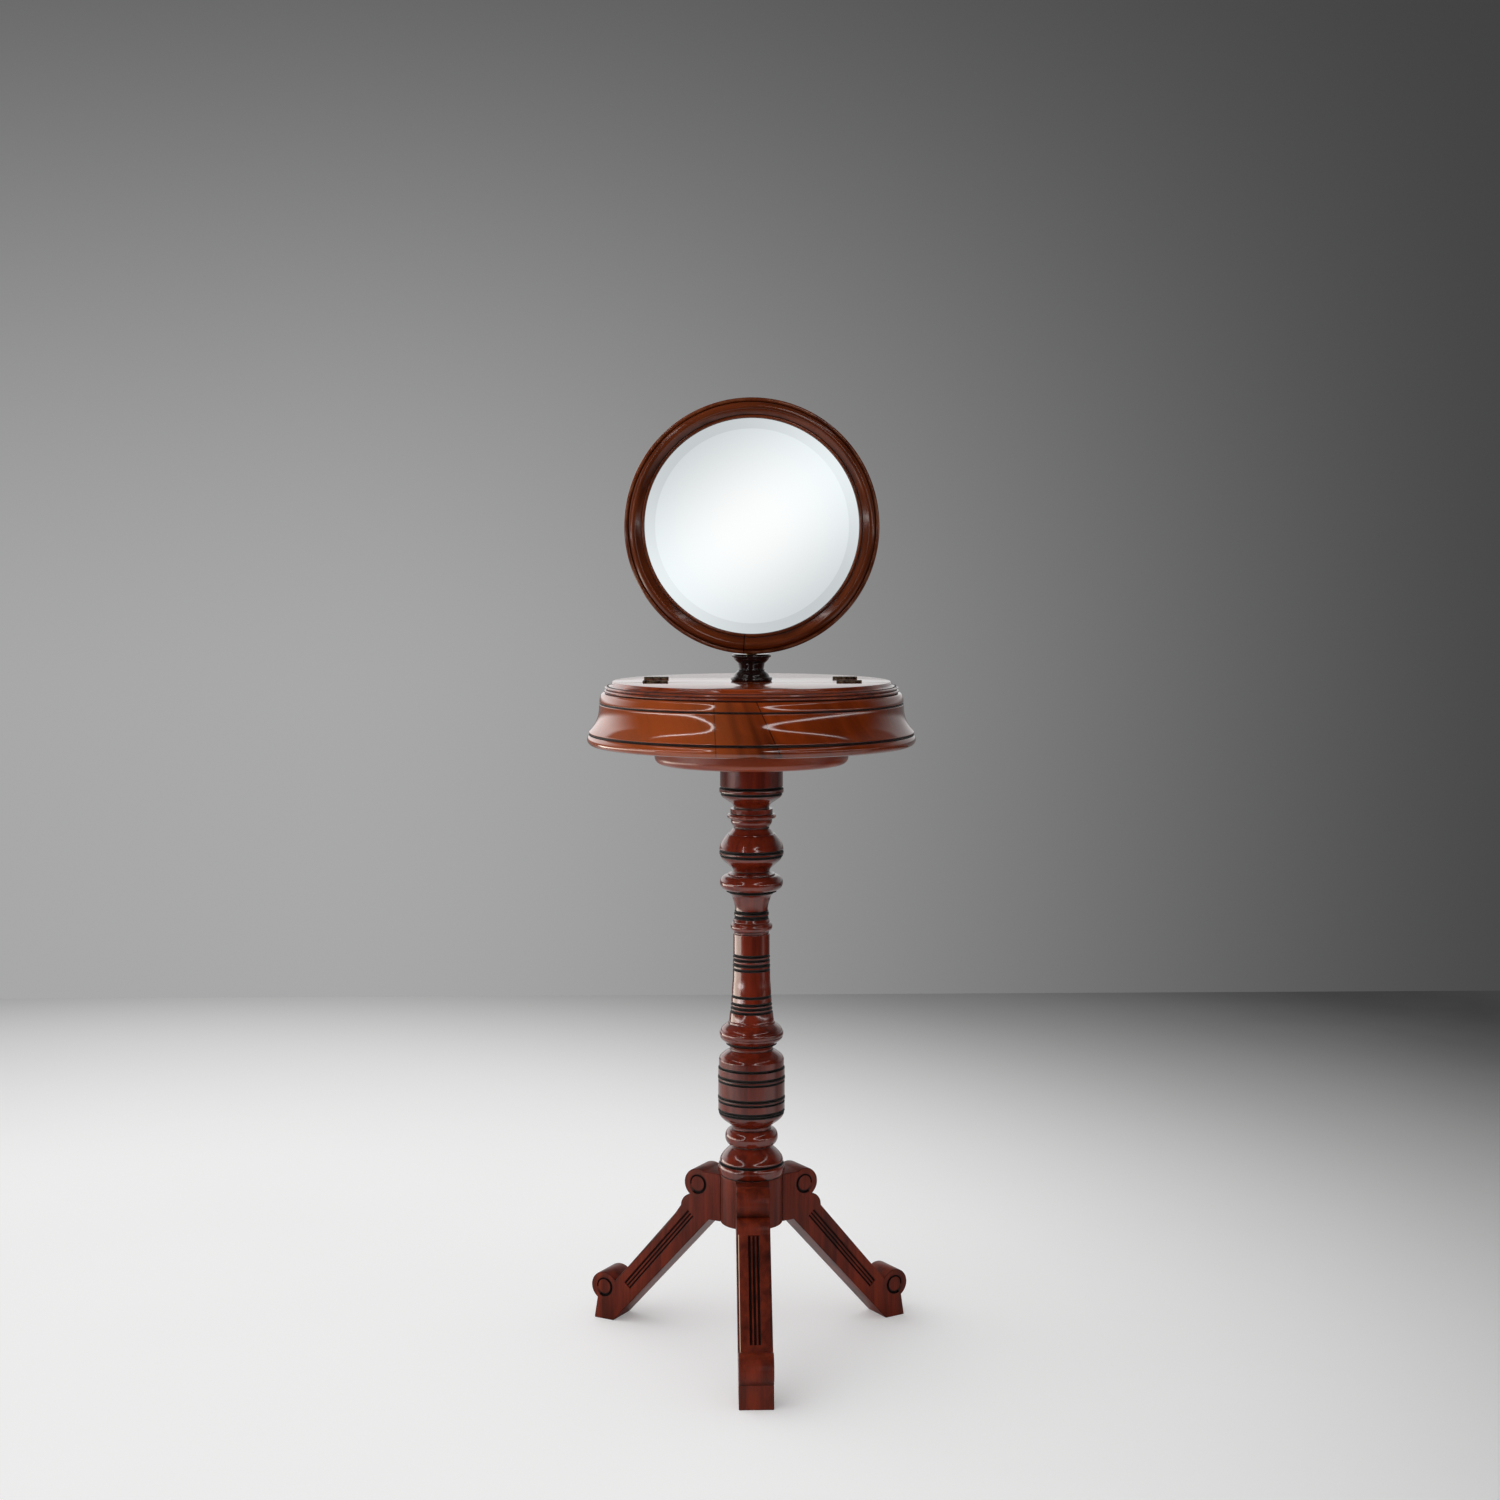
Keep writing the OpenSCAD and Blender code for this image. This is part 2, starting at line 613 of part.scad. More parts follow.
module front_partition() { partition(-1); }
module rear_partition() { partition(1); }

// Lid

module lid_disc() {
    step = (lid_r - lid_flat_r) / 11;
    color(mahogany) translate([0, 0, case_top]) rotate_extrude() polygon(concat(
        [[0, 0], [lid_r - 2 * step, 0], [lid_r - step, 0.6]],
        [for (i = [0:4]) [lid_r - step + step * sin(45 * i), 1 + 3.6 * i / 4]],
        [[lid_r - 2.2 * step, 5], [lid_r - 2.2 * step, 5.6]],
        [for (i = [0:4]) [lid_r - 1.6 * step + step * sin(45 * i), 5.8 + 2.6 * i / 4]],
        [[lid_r - 3.4 * step, 8.6], [lid_r - 3.4 * step, 9.2]],
        [for (i = [0:5]) [lid_flat_r + 1.2 * step + 5.6 * step * (1 - sin(18 * i)),
            lid_t - 2.6 - (lid_t - 11.8) * cos(18 * i)]],
        [[lid_flat_r + 1.2 * step, lid_t - 2]],
        [for (i = [0:4]) [lid_flat_r - 0.6 * step + 1.2 * step * cos(22.5 * i),
            lid_t - 1.6 + 1.6 * sin(22.5 * i)]],
        [[0, lid_t]]
    ));
}

// Room for the knuckles of one hinge, cut into the edges on both sides of the hinge line
module knuckle_room() {
    translate([-hinge_l / 2 - slack, 0, 0]) rotate([0, 90, 0])
        cylinder(hinge_l + 2 * slack, knuckle_r + slack, knuckle_r + slack);
}

// Places its children at the hinges of one hinge line, with Y towards that line's lid
module at_hinges(side) {
    for (x = [-1, 1]) translate([x * hinge_x, side * hinge_y, hinge_z])
        mirror([0, side < 0 ? 1 : 0, 0]) children();
}

// Seat of a leaf in an edge: toward = 1 is the lid's edge and -1 the strip's
module leaf_seat(toward) {
    y = toward > 0 ? lid_gap / 2 - 1 : -lid_gap / 2 - leaf_t - running;
    translate([-hinge_l / 2 - slack, y, -leaf_d - running])
        cube([hinge_l + 2 * slack, leaf_t + running + 1, leaf_d + 2]);
}

module leaf_screws(toward, clear) {
    for (x = [-1, 1]) translate([x * leaf_screw_x, toward * lid_gap / 2, leaf_screw_z - hinge_z])
        rotate([-90 * toward, 0, 0]) {
            translate([0, 0, -clear])
                cylinder(leaf_t + clear, screw_head_r + clear, hinge_screw_r + clear);
            translate([0, 0, 0.1 - clear])
                cylinder(hinge_screw_l + 2 * clear, hinge_screw_r + clear, hinge_screw_r + clear);
        }
}

module centre_strip() {
    difference() {
        intersection() {
            lid_disc();
            translate([-lid_r - 1, -strip_half + lid_gap / 2, case_top])
                cube([2 * lid_r + 2, strip_w - lid_gap, lid_t]);
        }
        translate([0, 0, case_top - 1])
            cylinder(lid_t + 2, collar_tenon_r + glue_line, collar_tenon_r + glue_line);
        for (side = [-1, 1]) at_hinges(side) {
            knuckle_room();
            leaf_seat(-1);
            leaf_screws(-1, glue_line);
        }
    }
}

module lid_board(side) {
    difference() {
        intersection() {
            lid_disc();
            translate([-lid_r - 1, side > 0 ? strip_half + lid_gap / 2 : -2 * lid_r, case_top + rest_gap])
                cube([2 * lid_r + 2, 2 * lid_r - strip_half - lid_gap / 2, lid_t]);
        }
        at_hinges(side) {
            knuckle_room();
            leaf_seat(1);
            leaf_screws(1, glue_line);
        }
    }
}

module front_lid() { lid_board(-1); }
module rear_lid() { lid_board(1); }

// Hinges

// A leaf with the odd knuckles (first = 0) or the even ones (first = 1)
module hinge_leaf(first, toward) {
    own = [for (i = [first:2:knuckles - 1]) i];
    plate_y0 = toward > 0 ? lid_gap / 2 : -lid_gap / 2 - leaf_t;
    difference() {
        union() {
            translate([-hinge_l / 2, plate_y0, -leaf_d])
                cube([hinge_l, leaf_t, leaf_d - knuckle_r - slack]);
            for (i = own) translate([-hinge_l / 2 + i * (knuckle_l + knuckle_gap), 0, 0]) {
                rotate([0, 90, 0]) cylinder(knuckle_l, knuckle_r, knuckle_r);
                translate([0, plate_y0, -knuckle_r - slack - 1])
                    cube([knuckle_l, leaf_t, knuckle_r + slack + 1]);
            }
        }
        translate([-hinge_l, 0, 0]) rotate([0, 90, 0])
            cylinder(2 * hinge_l, hinge_pin_r + running, hinge_pin_r + running);
        leaf_screws(toward, running);
    }
}

module fixed_hinge_leaves() {
    color(old_brass) for (side = [-1, 1]) at_hinges(side) hinge_leaf(0, -1);
}

module front_hinge_leaves() { color(old_brass) at_hinges(-1) hinge_leaf(1, 1); }
module rear_hinge_leaves() { color(old_brass) at_hinges(1) hinge_leaf(1, 1); }

module hinge_pins() {
    color(old_brass) for (side = [-1, 1]) at_hinges(side)
        translate([-hinge_l / 2 - 0.2, 0, 0]) rotate([0, 90, 0])
            cylinder(hinge_l + 0.4, hinge_pin_r, hinge_pin_r);
}

module strip_hinge_screws() {
    color(old_brass) for (side = [-1, 1]) at_hinges(side) leaf_screws(-1, 0);
}

module front_lid_screws() { color(old_brass) at_hinges(-1) leaf_screws(1, 0); }
module rear_lid_screws() { color(old_brass) at_hinges(1) leaf_screws(1, 0); }

// Collar and its friction sleeve

module collar() {
    turned = [
        bead(5.4, collar_base_r - 2, collar_base_r), straight(1, collar_base_r - 3.4),
        fall(7.6, collar_base_r - 4, collar_waist_r + 0.6), straight(1.4, collar_waist_r + 1.4)
    ];
    ring = [bead(5, collar_top_r - 2.2, collar_top_r)];
    waist_h = collar_h - total_h(turned) - total_h(ring);
    waist = [
        ogee(waist_h * 0.55, collar_waist_r, collar_waist_r + 1),
        swell(waist_h * 0.45, collar_waist_r + 2, collar_top_r - 2.6)
    ];
    outline = concat([[0, 0]], stacked(concat(turned, waist, ring)), [[0, collar_h]]);
    color(ebony) difference() {
        union() {
            translate([0, 0, strip_top]) rotate_extrude() polygon(outline);
            translate([0, 0, case_top - collar_foot])
                cylinder(lid_t + collar_foot + 1, collar_tenon_r, collar_tenon_r);
        }
        translate([0, 0, case_top - collar_foot - 1])
            cylinder(lid_t + collar_h + collar_foot + 2, sleeve_r + glue_line, sleeve_r + glue_line);
    }
}

// The sleeve is split down one side so that it springs on to the rod
module friction_sleeve() {
    cut_l = lid_t + collar_h + collar_foot + 2;
    color(bright_brass) difference() {
        translate([0, 0, case_top - collar_foot])
            cylinder(collar_top - case_top + collar_foot - 0.4, sleeve_r, sleeve_r);
        translate([0, 0, case_top - collar_foot - 1]) {
            cylinder(cut_l, rod_r + running, rod_r + running);
            translate([-0.6, 0, 0]) cube([1.2, 2 * sleeve_r, cut_l]);
        }
    }
}

// Rod and its stop

module rod() {
    color(bright_brass) difference() {
        union() {
            translate([0, 0, rod_foot]) cylinder(rod_shoulder - rod_foot, rod_r, rod_r);
            translate([0, 0, rod_shoulder]) cylinder(spigot_h, spigot_r, spigot_r);
        }
        translate([0, 0, rod_shoulder + spigot_h - swivel_shank_l - 1])
            cylinder(swivel_shank_l + 2, swivel_shank_r + running, swivel_shank_r + running);
        translate([0, 0, rod_foot + stop_h / 2]) rotate([0, 90, 0])
            cylinder(4 * stop_r, stop_pin_r + running, stop_pin_r + running, center = true);
    }
}

module stop_ring() {
    color(old_brass) difference() {
        translate([0, 0, rod_foot]) cylinder(stop_h, stop_r, stop_r);
        translate([0, 0, rod_foot - 1]) cylinder(stop_h + 2, rod_r + running, rod_r + running);
        translate([0, 0, rod_foot + stop_h / 2]) rotate([0, 90, 0])
            cylinder(4 * stop_r, stop_pin_r + running, stop_pin_r + running, center = true);
    }
}

module stop_pin() {
    color(steel) translate([0, 0, rod_foot + stop_h / 2]) rotate([0, 90, 0])
        cylinder(2 * stop_r - 0.8, stop_pin_r, stop_pin_r, center = true);
}

// Swivel head: a socket on the rod's spigot, with a fork for the mirror's lug

module swivel_screw() {
    color(old_brass) translate([0, 0, head_top + running]) {
        cylinder(2.4, 4.6, 3.8);
        translate([0, 0, -swivel_shank_l]) cylinder(swivel_shank_l + 0.5, swivel_shank_r, swivel_shank_r);
    }
}

module swivel_head() {
    ear_x = lug_w / 2 + washer_t + 2 * running;
    color(old_brass) difference() {
        union() {
            translate([0, 0, head_base]) cylinder(head_top - head_base, head_r, head_r);
            for (side = [-1, 1]) translate([side > 0 ? ear_x : -ear_x - ear_t, 0, 0]) {
                translate([0, 0, mirror_z]) rotate([0, 90, 0]) cylinder(ear_t, ear_r, ear_r);
                translate([0, -ear_r * 0.8, head_top - 4])
                    cube([ear_t, 1.6 * ear_r, mirror_z - head_top + 4]);
            }
            translate([-ear_x - ear_t, -ear_r * 0.8, head_top - 4])
                cube([2 * ear_x + 2 * ear_t, 1.6 * ear_r, 4]);
        }
        translate([0, 0, head_base - 1])
            cylinder(socket_end - head_base + 1, spigot_r + running, spigot_r + running);
        translate([0, 0, head_base - 1])
            cylinder(2 * spigot_h, swivel_shank_r + 2 * running, swivel_shank_r + 2 * running);
        translate([0, 0, mirror_z]) rotate([0, 90, 0])
            cylinder(8 * ear_r, tilt_r + running, tilt_r + running, center = true);
    }
}

module friction_washers() {
    color(bright_brass) for (side = [-1, 1]) difference() {
        translate([side * (lug_w / 2 + running + washer_t / 2), 0, mirror_z]) rotate([0, 90, 0])
            cylinder(washer_t, washer_r, washer_r, center = true);
        translate([0, 0, mirror_z]) rotate([0, 90, 0])
            cylinder(8 * ear_r, tilt_r + running, tilt_r + running, center = true);
    }
}

module tilt_bolt() {
    outer = lug_w / 2 + washer_t + 3 * running + ear_t;
    bolt_head_t = 3;
    color(old_brass) translate([0, 0, mirror_z]) rotate([0, 90, 0]) {
        translate([0, 0, -outer - bolt_head_t]) cylinder(bolt_head_t, 1.5 * tilt_r, 1.8 * tilt_r);
        translate([0, 0, -outer - 1]) cylinder(2 * outer + tilt_nut_t + 2, tilt_r, tilt_r);
    }
}

module tilt_nut() {
    outer = lug_w / 2 + washer_t + 3 * running + ear_t;
    color(old_brass) translate([outer, 0, mirror_z]) rotate([0, 90, 0]) difference() {
        cylinder(tilt_nut_t, 2 * tilt_r, 2 * tilt_r, $fn = 6);
        translate([0, 0, -1]) cylinder(tilt_nut_t + 2, tilt_r + running, tilt_r + running);
    }
}

// Mirror

// Turns an outline [radius, depth forward of the frame's back] about the mirror's own axis
module turned_mirror_part() {
    translate([0, -frame_back, mirror_z]) rotate([90, 0, 0]) rotate_extrude($fn = 180) children();
}

module mirror_frame() {
    band_out = frame_r - outer_bead_w;
    band_in = band_out - band_w;
    cove_in = band_in - cove_w;
    bead_r = outer_bead_w / 2;
    band_rise = 4.6;
    band_top = frame_t - band_rise / 2;
    color(mahogany) difference() {
        turned_mirror_part() polygon(concat(
            [[sight_r, rebate_d], [rebate_r, rebate_d], [rebate_r, 0], [frame_r - 2, 0], [frame_r, 2.4]],
            [for (i = [0:6]) [frame_r - bead_r + bead_r * cos(30 * i),
                band_top - 5.8 + bead_r * sin(30 * i)]],
            [[band_out, band_top - 5.6], [band_out - 0.4, band_top - 5]],
            [for (i = [1:8]) [(band_out + band_in) / 2 + band_w / 2 * cos(20 * i),
                band_top - 3.4 * cos(10 * i) + band_rise * sin(20 * i)]],
            [for (i = [0:5]) [cove_in + cove_w * 0.94 * (1 - sin(18 * i)),
                band_top - 3.4 + 3.8 * (1 - cos(90 - 18 * i))]],
            [for (i = [0:4]) [cove_in - lip_w / 2 + lip_w / 2 * cos(45 * i),
                rebate_d + 1.6 + 1.4 * sin(45 * i)]]
        ));
        back_pin_set(glue_line);
    }
}

module mirror_glass() {
    edge_r = rebate_r - 0.5;
    flat_r = sight_r - bevel_w;
    color(silvered) turned_mirror_part() polygon([
        [0, glass_back], [edge_r, glass_back], [edge_r, glass_front - bevel_drop - 0.4],
        [sight_r, glass_front - bevel_drop], [flat_r, glass_front], [0, glass_front]
    ]);
}

module back_board() {
    edge_r = rebate_r - 0.3;
    color(inner_wood) difference() {
        turned_mirror_part() polygon([
            [0, field_back], [board_field_r - 6, field_back], [board_field_r, board_back],
            [edge_r, board_back], [edge_r, board_front], [0, board_front]
        ]);
        pivot_screw_set(glue_line);
    }
}

// Headless pins driven in level behind the back board, round its edge
module back_pin_set(clear) {
    pin_r = 0.6;
    translate([0, -frame_back - board_back + pin_r + running, mirror_z]) for (i = [0:back_pin_count - 1])
        rotate([0, 360 * (i + 0.5) / back_pin_count, 0]) translate([rebate_r - 6, 0, 0])
            rotate([0, 90, 0]) cylinder(13 + clear, pin_r + clear, pin_r + clear);
}

module back_pins() {
    color(steel) back_pin_set(0);
}

module pivot_plate() {
    lug_r = ear_r - 1.2;
    color(old_brass) difference() {
        union() {
            translate([0, plate_y, mirror_z]) rotate([-90, 0, 0]) cylinder(plate_t, plate_r, plate_r);
            translate([-lug_w / 2, 0, mirror_z]) rotate([0, 90, 0]) cylinder(lug_w, lug_r, lug_r);
            translate([-lug_w / 2, plate_y + 1, mirror_z - lug_r]) cube([lug_w, -plate_y - 1, 2 * lug_r]);
        }
        translate([0, 0, mirror_z]) rotate([0, 90, 0])
            cylinder(8 * ear_r, tilt_r + running, tilt_r + running, center = true);
        pivot_screw_set(glue_line);
    }
}

module pivot_screw_set(clear) {
    for (a = [45:90:315])
        translate([pivot_screw_at * cos(a), plate_y + plate_t, mirror_z + pivot_screw_at * sin(a)])
            rotate([90, 0, 0]) {
                translate([0, 0, -clear])
                    cylinder(plate_t - 0.4 + clear, 2 * pivot_screw_r + clear, pivot_screw_r + clear);
                translate([0, 0, 0.1 - clear])
                    cylinder(plate_t + 6 + 2 * clear, pivot_screw_r + clear, pivot_screw_r + clear);
            }
}

module pivot_screws() {
    color(old_brass) pivot_screw_set(0);
}

hub();
leg_front();
leg_right();
leg_left();
leg_dowels();
column();
guide_bush();
under_disc();
under_disc_screws();
case_floor();
base_moulding();
case_side();
front_partition();
rear_partition();
centre_strip();
front_lid();
rear_lid();
fixed_hinge_leaves();
front_hinge_leaves();
rear_hinge_leaves();
hinge_pins();
strip_hinge_screws();
front_lid_screws();
rear_lid_screws();
collar();
friction_sleeve();
rod();
stop_ring();
stop_pin();
swivel_screw();
swivel_head();
friction_washers();
tilt_bolt();
tilt_nut();
mirror_frame();
mirror_glass();
back_board();
back_pins();
pivot_plate();
pivot_screws();
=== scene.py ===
"""Dresses a free-standing shaving stand: a round mirror over a two-lidded case on a turned column.

Run as a script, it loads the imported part, and each operator below makes one group of pieces.
Outlines are in millimetres; everything in the scene is in metres, in the part's own frame.
"""

from math import atan2, cos, pi, radians, sin, tau

import bmesh
import bpy
from bpy.props import FloatProperty, FloatVectorProperty, PointerProperty
from bpy.types import Operator, Panel, PropertyGroup
from mathutils import Matrix, Vector


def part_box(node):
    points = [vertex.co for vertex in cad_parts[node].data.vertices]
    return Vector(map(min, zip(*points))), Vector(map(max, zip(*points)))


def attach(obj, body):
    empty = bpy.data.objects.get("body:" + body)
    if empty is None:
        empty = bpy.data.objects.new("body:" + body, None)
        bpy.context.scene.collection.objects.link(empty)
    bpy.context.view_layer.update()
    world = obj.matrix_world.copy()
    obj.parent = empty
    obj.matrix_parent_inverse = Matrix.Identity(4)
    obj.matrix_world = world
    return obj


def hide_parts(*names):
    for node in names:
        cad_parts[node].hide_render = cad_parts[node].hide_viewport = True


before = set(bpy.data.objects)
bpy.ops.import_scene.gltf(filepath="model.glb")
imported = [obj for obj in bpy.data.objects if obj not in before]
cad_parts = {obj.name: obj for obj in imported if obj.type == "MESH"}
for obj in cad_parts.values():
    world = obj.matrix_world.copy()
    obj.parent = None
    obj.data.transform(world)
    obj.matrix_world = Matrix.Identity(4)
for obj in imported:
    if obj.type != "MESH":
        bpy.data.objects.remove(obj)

bl_info = {
    "name": "Shaving Stand",
    "version": (1, 0, 0),
    "blender": (4, 5, 0),
    "location": "View3D > Sidebar > Shaving Stand",
    "description": "Turns, carves and polishes the pieces of a shaving stand with a round mirror",
    "category": "Object",
}

MM = 0.001
X, Y, Z = range(3)
MERGE = 0.002 * MM
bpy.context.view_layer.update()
MIRROR_Z = sum(corner.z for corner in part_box("mirror_frame")) / 2
FRAME_BACK = -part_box("mirror_frame")[1].y

# Directions of the three legs in degrees. A leg's own frame has it along X: there, the ends of the limb's
# upper edge and the centres of the two scrolls are (out, up) in millimetres.
LEGS = {"leg_front": -90, "leg_right": 30, "leg_left": 150}
LIMB = (Vector((95.9, 176.5)), Vector((213.0, 41.5)))
SCROLLS = (Vector((70, 211)), Vector((218, 46)))


# Sizes and colours that a user would change


def number(name, description, default, **limits):
    return FloatProperty(name=name, description=description, default=default, **limits)


def length(name, description, default):
    """A length in metres, from one in millimetres."""
    return number(name, description, default * MM, min=0.0, unit="LENGTH")


def colour(name, description, default):
    """A colour, from its 8-bit display values."""
    linear = [((c / 255 + 0.055) / 1.055) ** 2.4 if c > 10 else c / 255 / 12.92 for c in default]
    return FloatVectorProperty(
        name=name, description=description, default=linear, size=3, min=0.0, max=1.0, subtype="COLOR"
    )


class ColumnSettings(PropertyGroup):
    """Sizes of the turned column."""

    base_ring: length("Base ring", "Radius of the ring that stands on the hub", 44.3)
    vase: length("Vase", "Radius of the vase above the base ring", 42)
    barrel: length("Barrel", "Radius of the grooved barrel", 43.9)
    lower_knop: length("Lower knop", "Radius of the knop above the barrel", 42)
    shaft: length("Shaft", "Radius of the slender shaft", 23.9)
    upper_knop: length("Upper knop", "Radius of the knop above the shaft", 41.3)
    bulb: length("Bulb", "Radius of the bulb", 42)
    disc: length("Disc", "Radius of the thin disc above the bulb", 32)
    block: length("Block", "Radius of the plain block under the case", 41)
    groove_depth: length("Groove depth", "Depth of the turned grooves", 1.6)
    softness: length("Softness", "How far polishing has rounded the turned edges", 0.3)


class LegSettings(PropertyGroup):
    """Edges of the three legs."""

    edge: length("Edge round", "Width of the worn round along a leg's edges", 1.0)
    limb_edge: length("Limb edge round", "Width of the round along the upper edges of a leg's limb", 3.0)


class CaseSettings(PropertyGroup):
    """Edges of the case and its lids."""

    lid_edge: length("Lid edge round", "Width of the small round on the lids' straight edges", 0.5)
    softness: length("Softness", "How far polishing has rounded the mouldings", 0.4)


class MirrorSettings(PropertyGroup):
    """The turned ring frame and its plate."""

    softness: length("Softness", "How far polishing has rounded the frame's mouldings", 0.4)
    silver: colour("Silver", "Tint of the silvered glass", (250, 252, 252))
    # The rim colour is a painted reflection: the plate is painted cooler towards its edge.
    painted_rim_reflection: colour("Rim tint", "Tint of the silvered glass near its edge", (240, 247, 249))


class WoodSettings(PropertyGroup):
    """Colours of the woods."""

    base_dark: colour("Base, dark", "Dark streaks of the legs and hub", (54, 15, 7))
    base_light: colour("Base, light", "Light streaks of the legs and hub", (122, 42, 20))
    column_dark: colour("Column, dark", "Dark streaks of the column", (58, 15, 7))
    column_light: colour("Column, light", "Light streaks of the column", (124, 40, 20))
    case_dark: colour("Case, dark", "Dark figure of the case's veneer", (76, 24, 5))
    case_light: colour("Case, light", "Bright figure of the case's veneer", (148, 58, 14))
    frame_dark: colour("Frame, dark", "Dark streaks of the mirror frame", (50, 17, 5))
    frame_light: colour("Frame, light", "Light streaks of the mirror frame", (110, 48, 18))
    # The worn colour is also painted on raised edges as highlights, and the grime colour is also painted into hollows
    # as shade; the wear setting also sets how strong the painted highlights are.
    worn_and_highlit: colour("Worn edge", "Colour where the polish has worn off an edge", (196, 132, 92))
    grime_and_shade: colour("Grime and shade", "Colour of old polish and dust in the grooves", (16, 5, 3))
    wear_and_highlight: number("Wear and highlight", "How much of the raised edges has worn through", 0.5, min=0.0, max=1.0, subtype="FACTOR")


class StageSettings(PropertyGroup):
    """The camera, the floor and the light."""

    distance: number("Distance", "Camera's distance from the column", 2.8, min=0.5, unit="LENGTH")
    height: number("Height", "Camera's height above the floor", 1.0478, min=0.0, unit="LENGTH")
    focal_length: number("Focal length", "Camera's focal length in millimetres", 51.9, min=10.0)
    light: number("Light", "Strength of the studio's light", 1.0, min=0.0, max=10.0)
    floor: colour("Floor", "Colour of the floor", (236, 236, 236))


# Turned elements: each gives (height, radius) points in millimetres from height 0


def straight(h, r):
    return [(0, r), (h, r)]


def taper(h, r0, r1):
    return [(0, r0), (h, r1)]


def bead(h, root, peak, n=14):
    return [
        (h * (1 - cos(pi * i / n)) / 2, root + (peak - root) * sin(pi * i / n))
        for i in range(n + 1)
    ]


def swell(h, r0, r1, n=10):
    return [(h * i / n, r0 + (r1 - r0) * sin(pi / 2 * i / n)) for i in range(n + 1)]


def fall(h, r0, r1, n=10):
    return [(h * i / n, r1 + (r0 - r1) * cos(pi / 2 * i / n)) for i in range(n + 1)]


def flare(h, r0, r1, n=8):
    return [(h * i / n, r0 + (r1 - r0) * (i / n) ** 2) for i in range(n + 1)]


def ogee(h, r0, r1, n=12):
    return [(h * i / n, r0 + (r1 - r0) * (1 - cos(pi * i / n)) / 2) for i in range(n + 1)]


def groove(r, depth, width=2.4):
    return [(0, r), (width * 0.3, r - depth), (width * 0.7, r - depth), (width, r)]


# Outlines: (radius, height) points in millimetres


def stacked(elements, z):
    """Turned elements on top of each other from height z."""
    points = []
    for element in elements:
        points += [(r, z + h) for h, r in element]
        z += element[-1][0]
    return points


def cut_spans(elements, z):
    """Heights between which the stack's grooves lie."""
    spans = []
    for element in elements:
        top = z + element[-1][0]
        if len(element) == 4 and element[1][1] < element[0][1]:
            spans.append((z, top))
        z = top
    return spans


def arc(r, z, wide, high, start, end, steps):
    """Part of an ellipse about (r, z), between two angles in degrees."""
    angles = [radians(start + (end - start) * i / steps) for i in range(steps + 1)]
    return [(r + wide * cos(a), z + high * sin(a)) for a in angles]


def softened(points, step, softness, shortest=0.05):
    """The outline in even steps, with its edges rounded a little."""
    walk = [Vector(points[0])]
    for point in map(Vector, points[1:]):
        start = walk[-1]
        gap = (point - start).length
        if gap >= shortest:
            count = max(1, round(gap / step))
            walk += [start.lerp(point, (i + 1) / count) for i in range(count)]
    for _ in range(max(1, round(2 * softness / step))):
        middle = [(a + 2 * b + c) / 4 for a, b, c in zip(walk, walk[1:], walk[2:])]
        walk = [walk[0], *middle, walk[-1]]
    return walk


def relief_of(walk, reach):
    """For each point of an outline, how far it stands out of (or lies in) its surroundings, in millimetres."""
    relief = [0.0] * len(walk)
    for i in range(reach, len(walk) - reach):
        near = walk[i - reach: i + reach + 1]
        along = walk[i + 1] - walk[i - 1]
        outward = Vector((along.y, -along.x)).normalized()
        relief[i] = (walk[i] - sum(near, Vector((0, 0))) / len(near)).dot(outward)
    return relief


def thinned(walk, relief, off_line=0.035, change=0.12, longest=6):
    """Leaves out points of an outline where it runs straight and its relief hardly changes."""
    kept = [0]
    for i in range(1, len(walk) - 1):
        last = walk[kept[-1]]
        chord, way = walk[i + 1] - last, walk[i] - last
        off = abs(chord.x * way.y - chord.y * way.x) / max(chord.length, 1e-6)
        if off > off_line or abs(relief[i] - relief[kept[-1]]) > change or chord.length > longest:
            kept.append(i)
    kept.append(len(walk) - 1)
    return [walk[i] for i in kept], [relief[i] for i in kept]


# Pieces


def ends(node, axis):
    """Where a CAD node begins and ends along an axis, in millimetres."""
    return [corner[axis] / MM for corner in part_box(node)]


def new_object(name, data):
    obj = bpy.data.objects.new(name, data)
    bpy.context.scene.collection.objects.link(obj)
    return obj


def finished(bm, name, sharp):
    """Makes the bmesh an object, smooth but for edges over that many degrees."""
    mesh = bpy.data.meshes.new(name)
    bm.to_mesh(mesh)
    bm.free()
    mesh.shade_smooth()
    mesh.set_sharp_from_angle(angle=radians(sharp))
    return new_object(name, mesh)


def spun(name, points, steps, sharp, place=None, relief=()):
    """A piece spun from its outline, which runs anticlockwise. The outline is closed unless it starts on the axis."""
    bm = bmesh.new()
    layer = bm.verts.layers.float.new("relief") if relief else None
    verts = [bm.verts.new((p[0] * MM, 0, p[1] * MM)) for p in points]
    for v, value in zip(verts, relief):
        v[layer] = value
    pairs = list(zip(verts, verts[1:])) + ([(verts[-1], verts[0])] if points[0][0] > 0 else [])
    edges = [bm.edges.new(pair) for pair in pairs]
    bmesh.ops.spin(
        bm, geom=verts + edges, cent=(0, 0, 0), axis=(0, 0, 1), angle=tau, steps=steps, use_merge=True
    )
    bmesh.ops.remove_doubles(bm, verts=bm.verts, dist=MERGE)
    bmesh.ops.recalc_face_normals(bm, faces=bm.faces)
    if place is not None:
        bm.transform(place)
    return finished(bm, name, sharp)


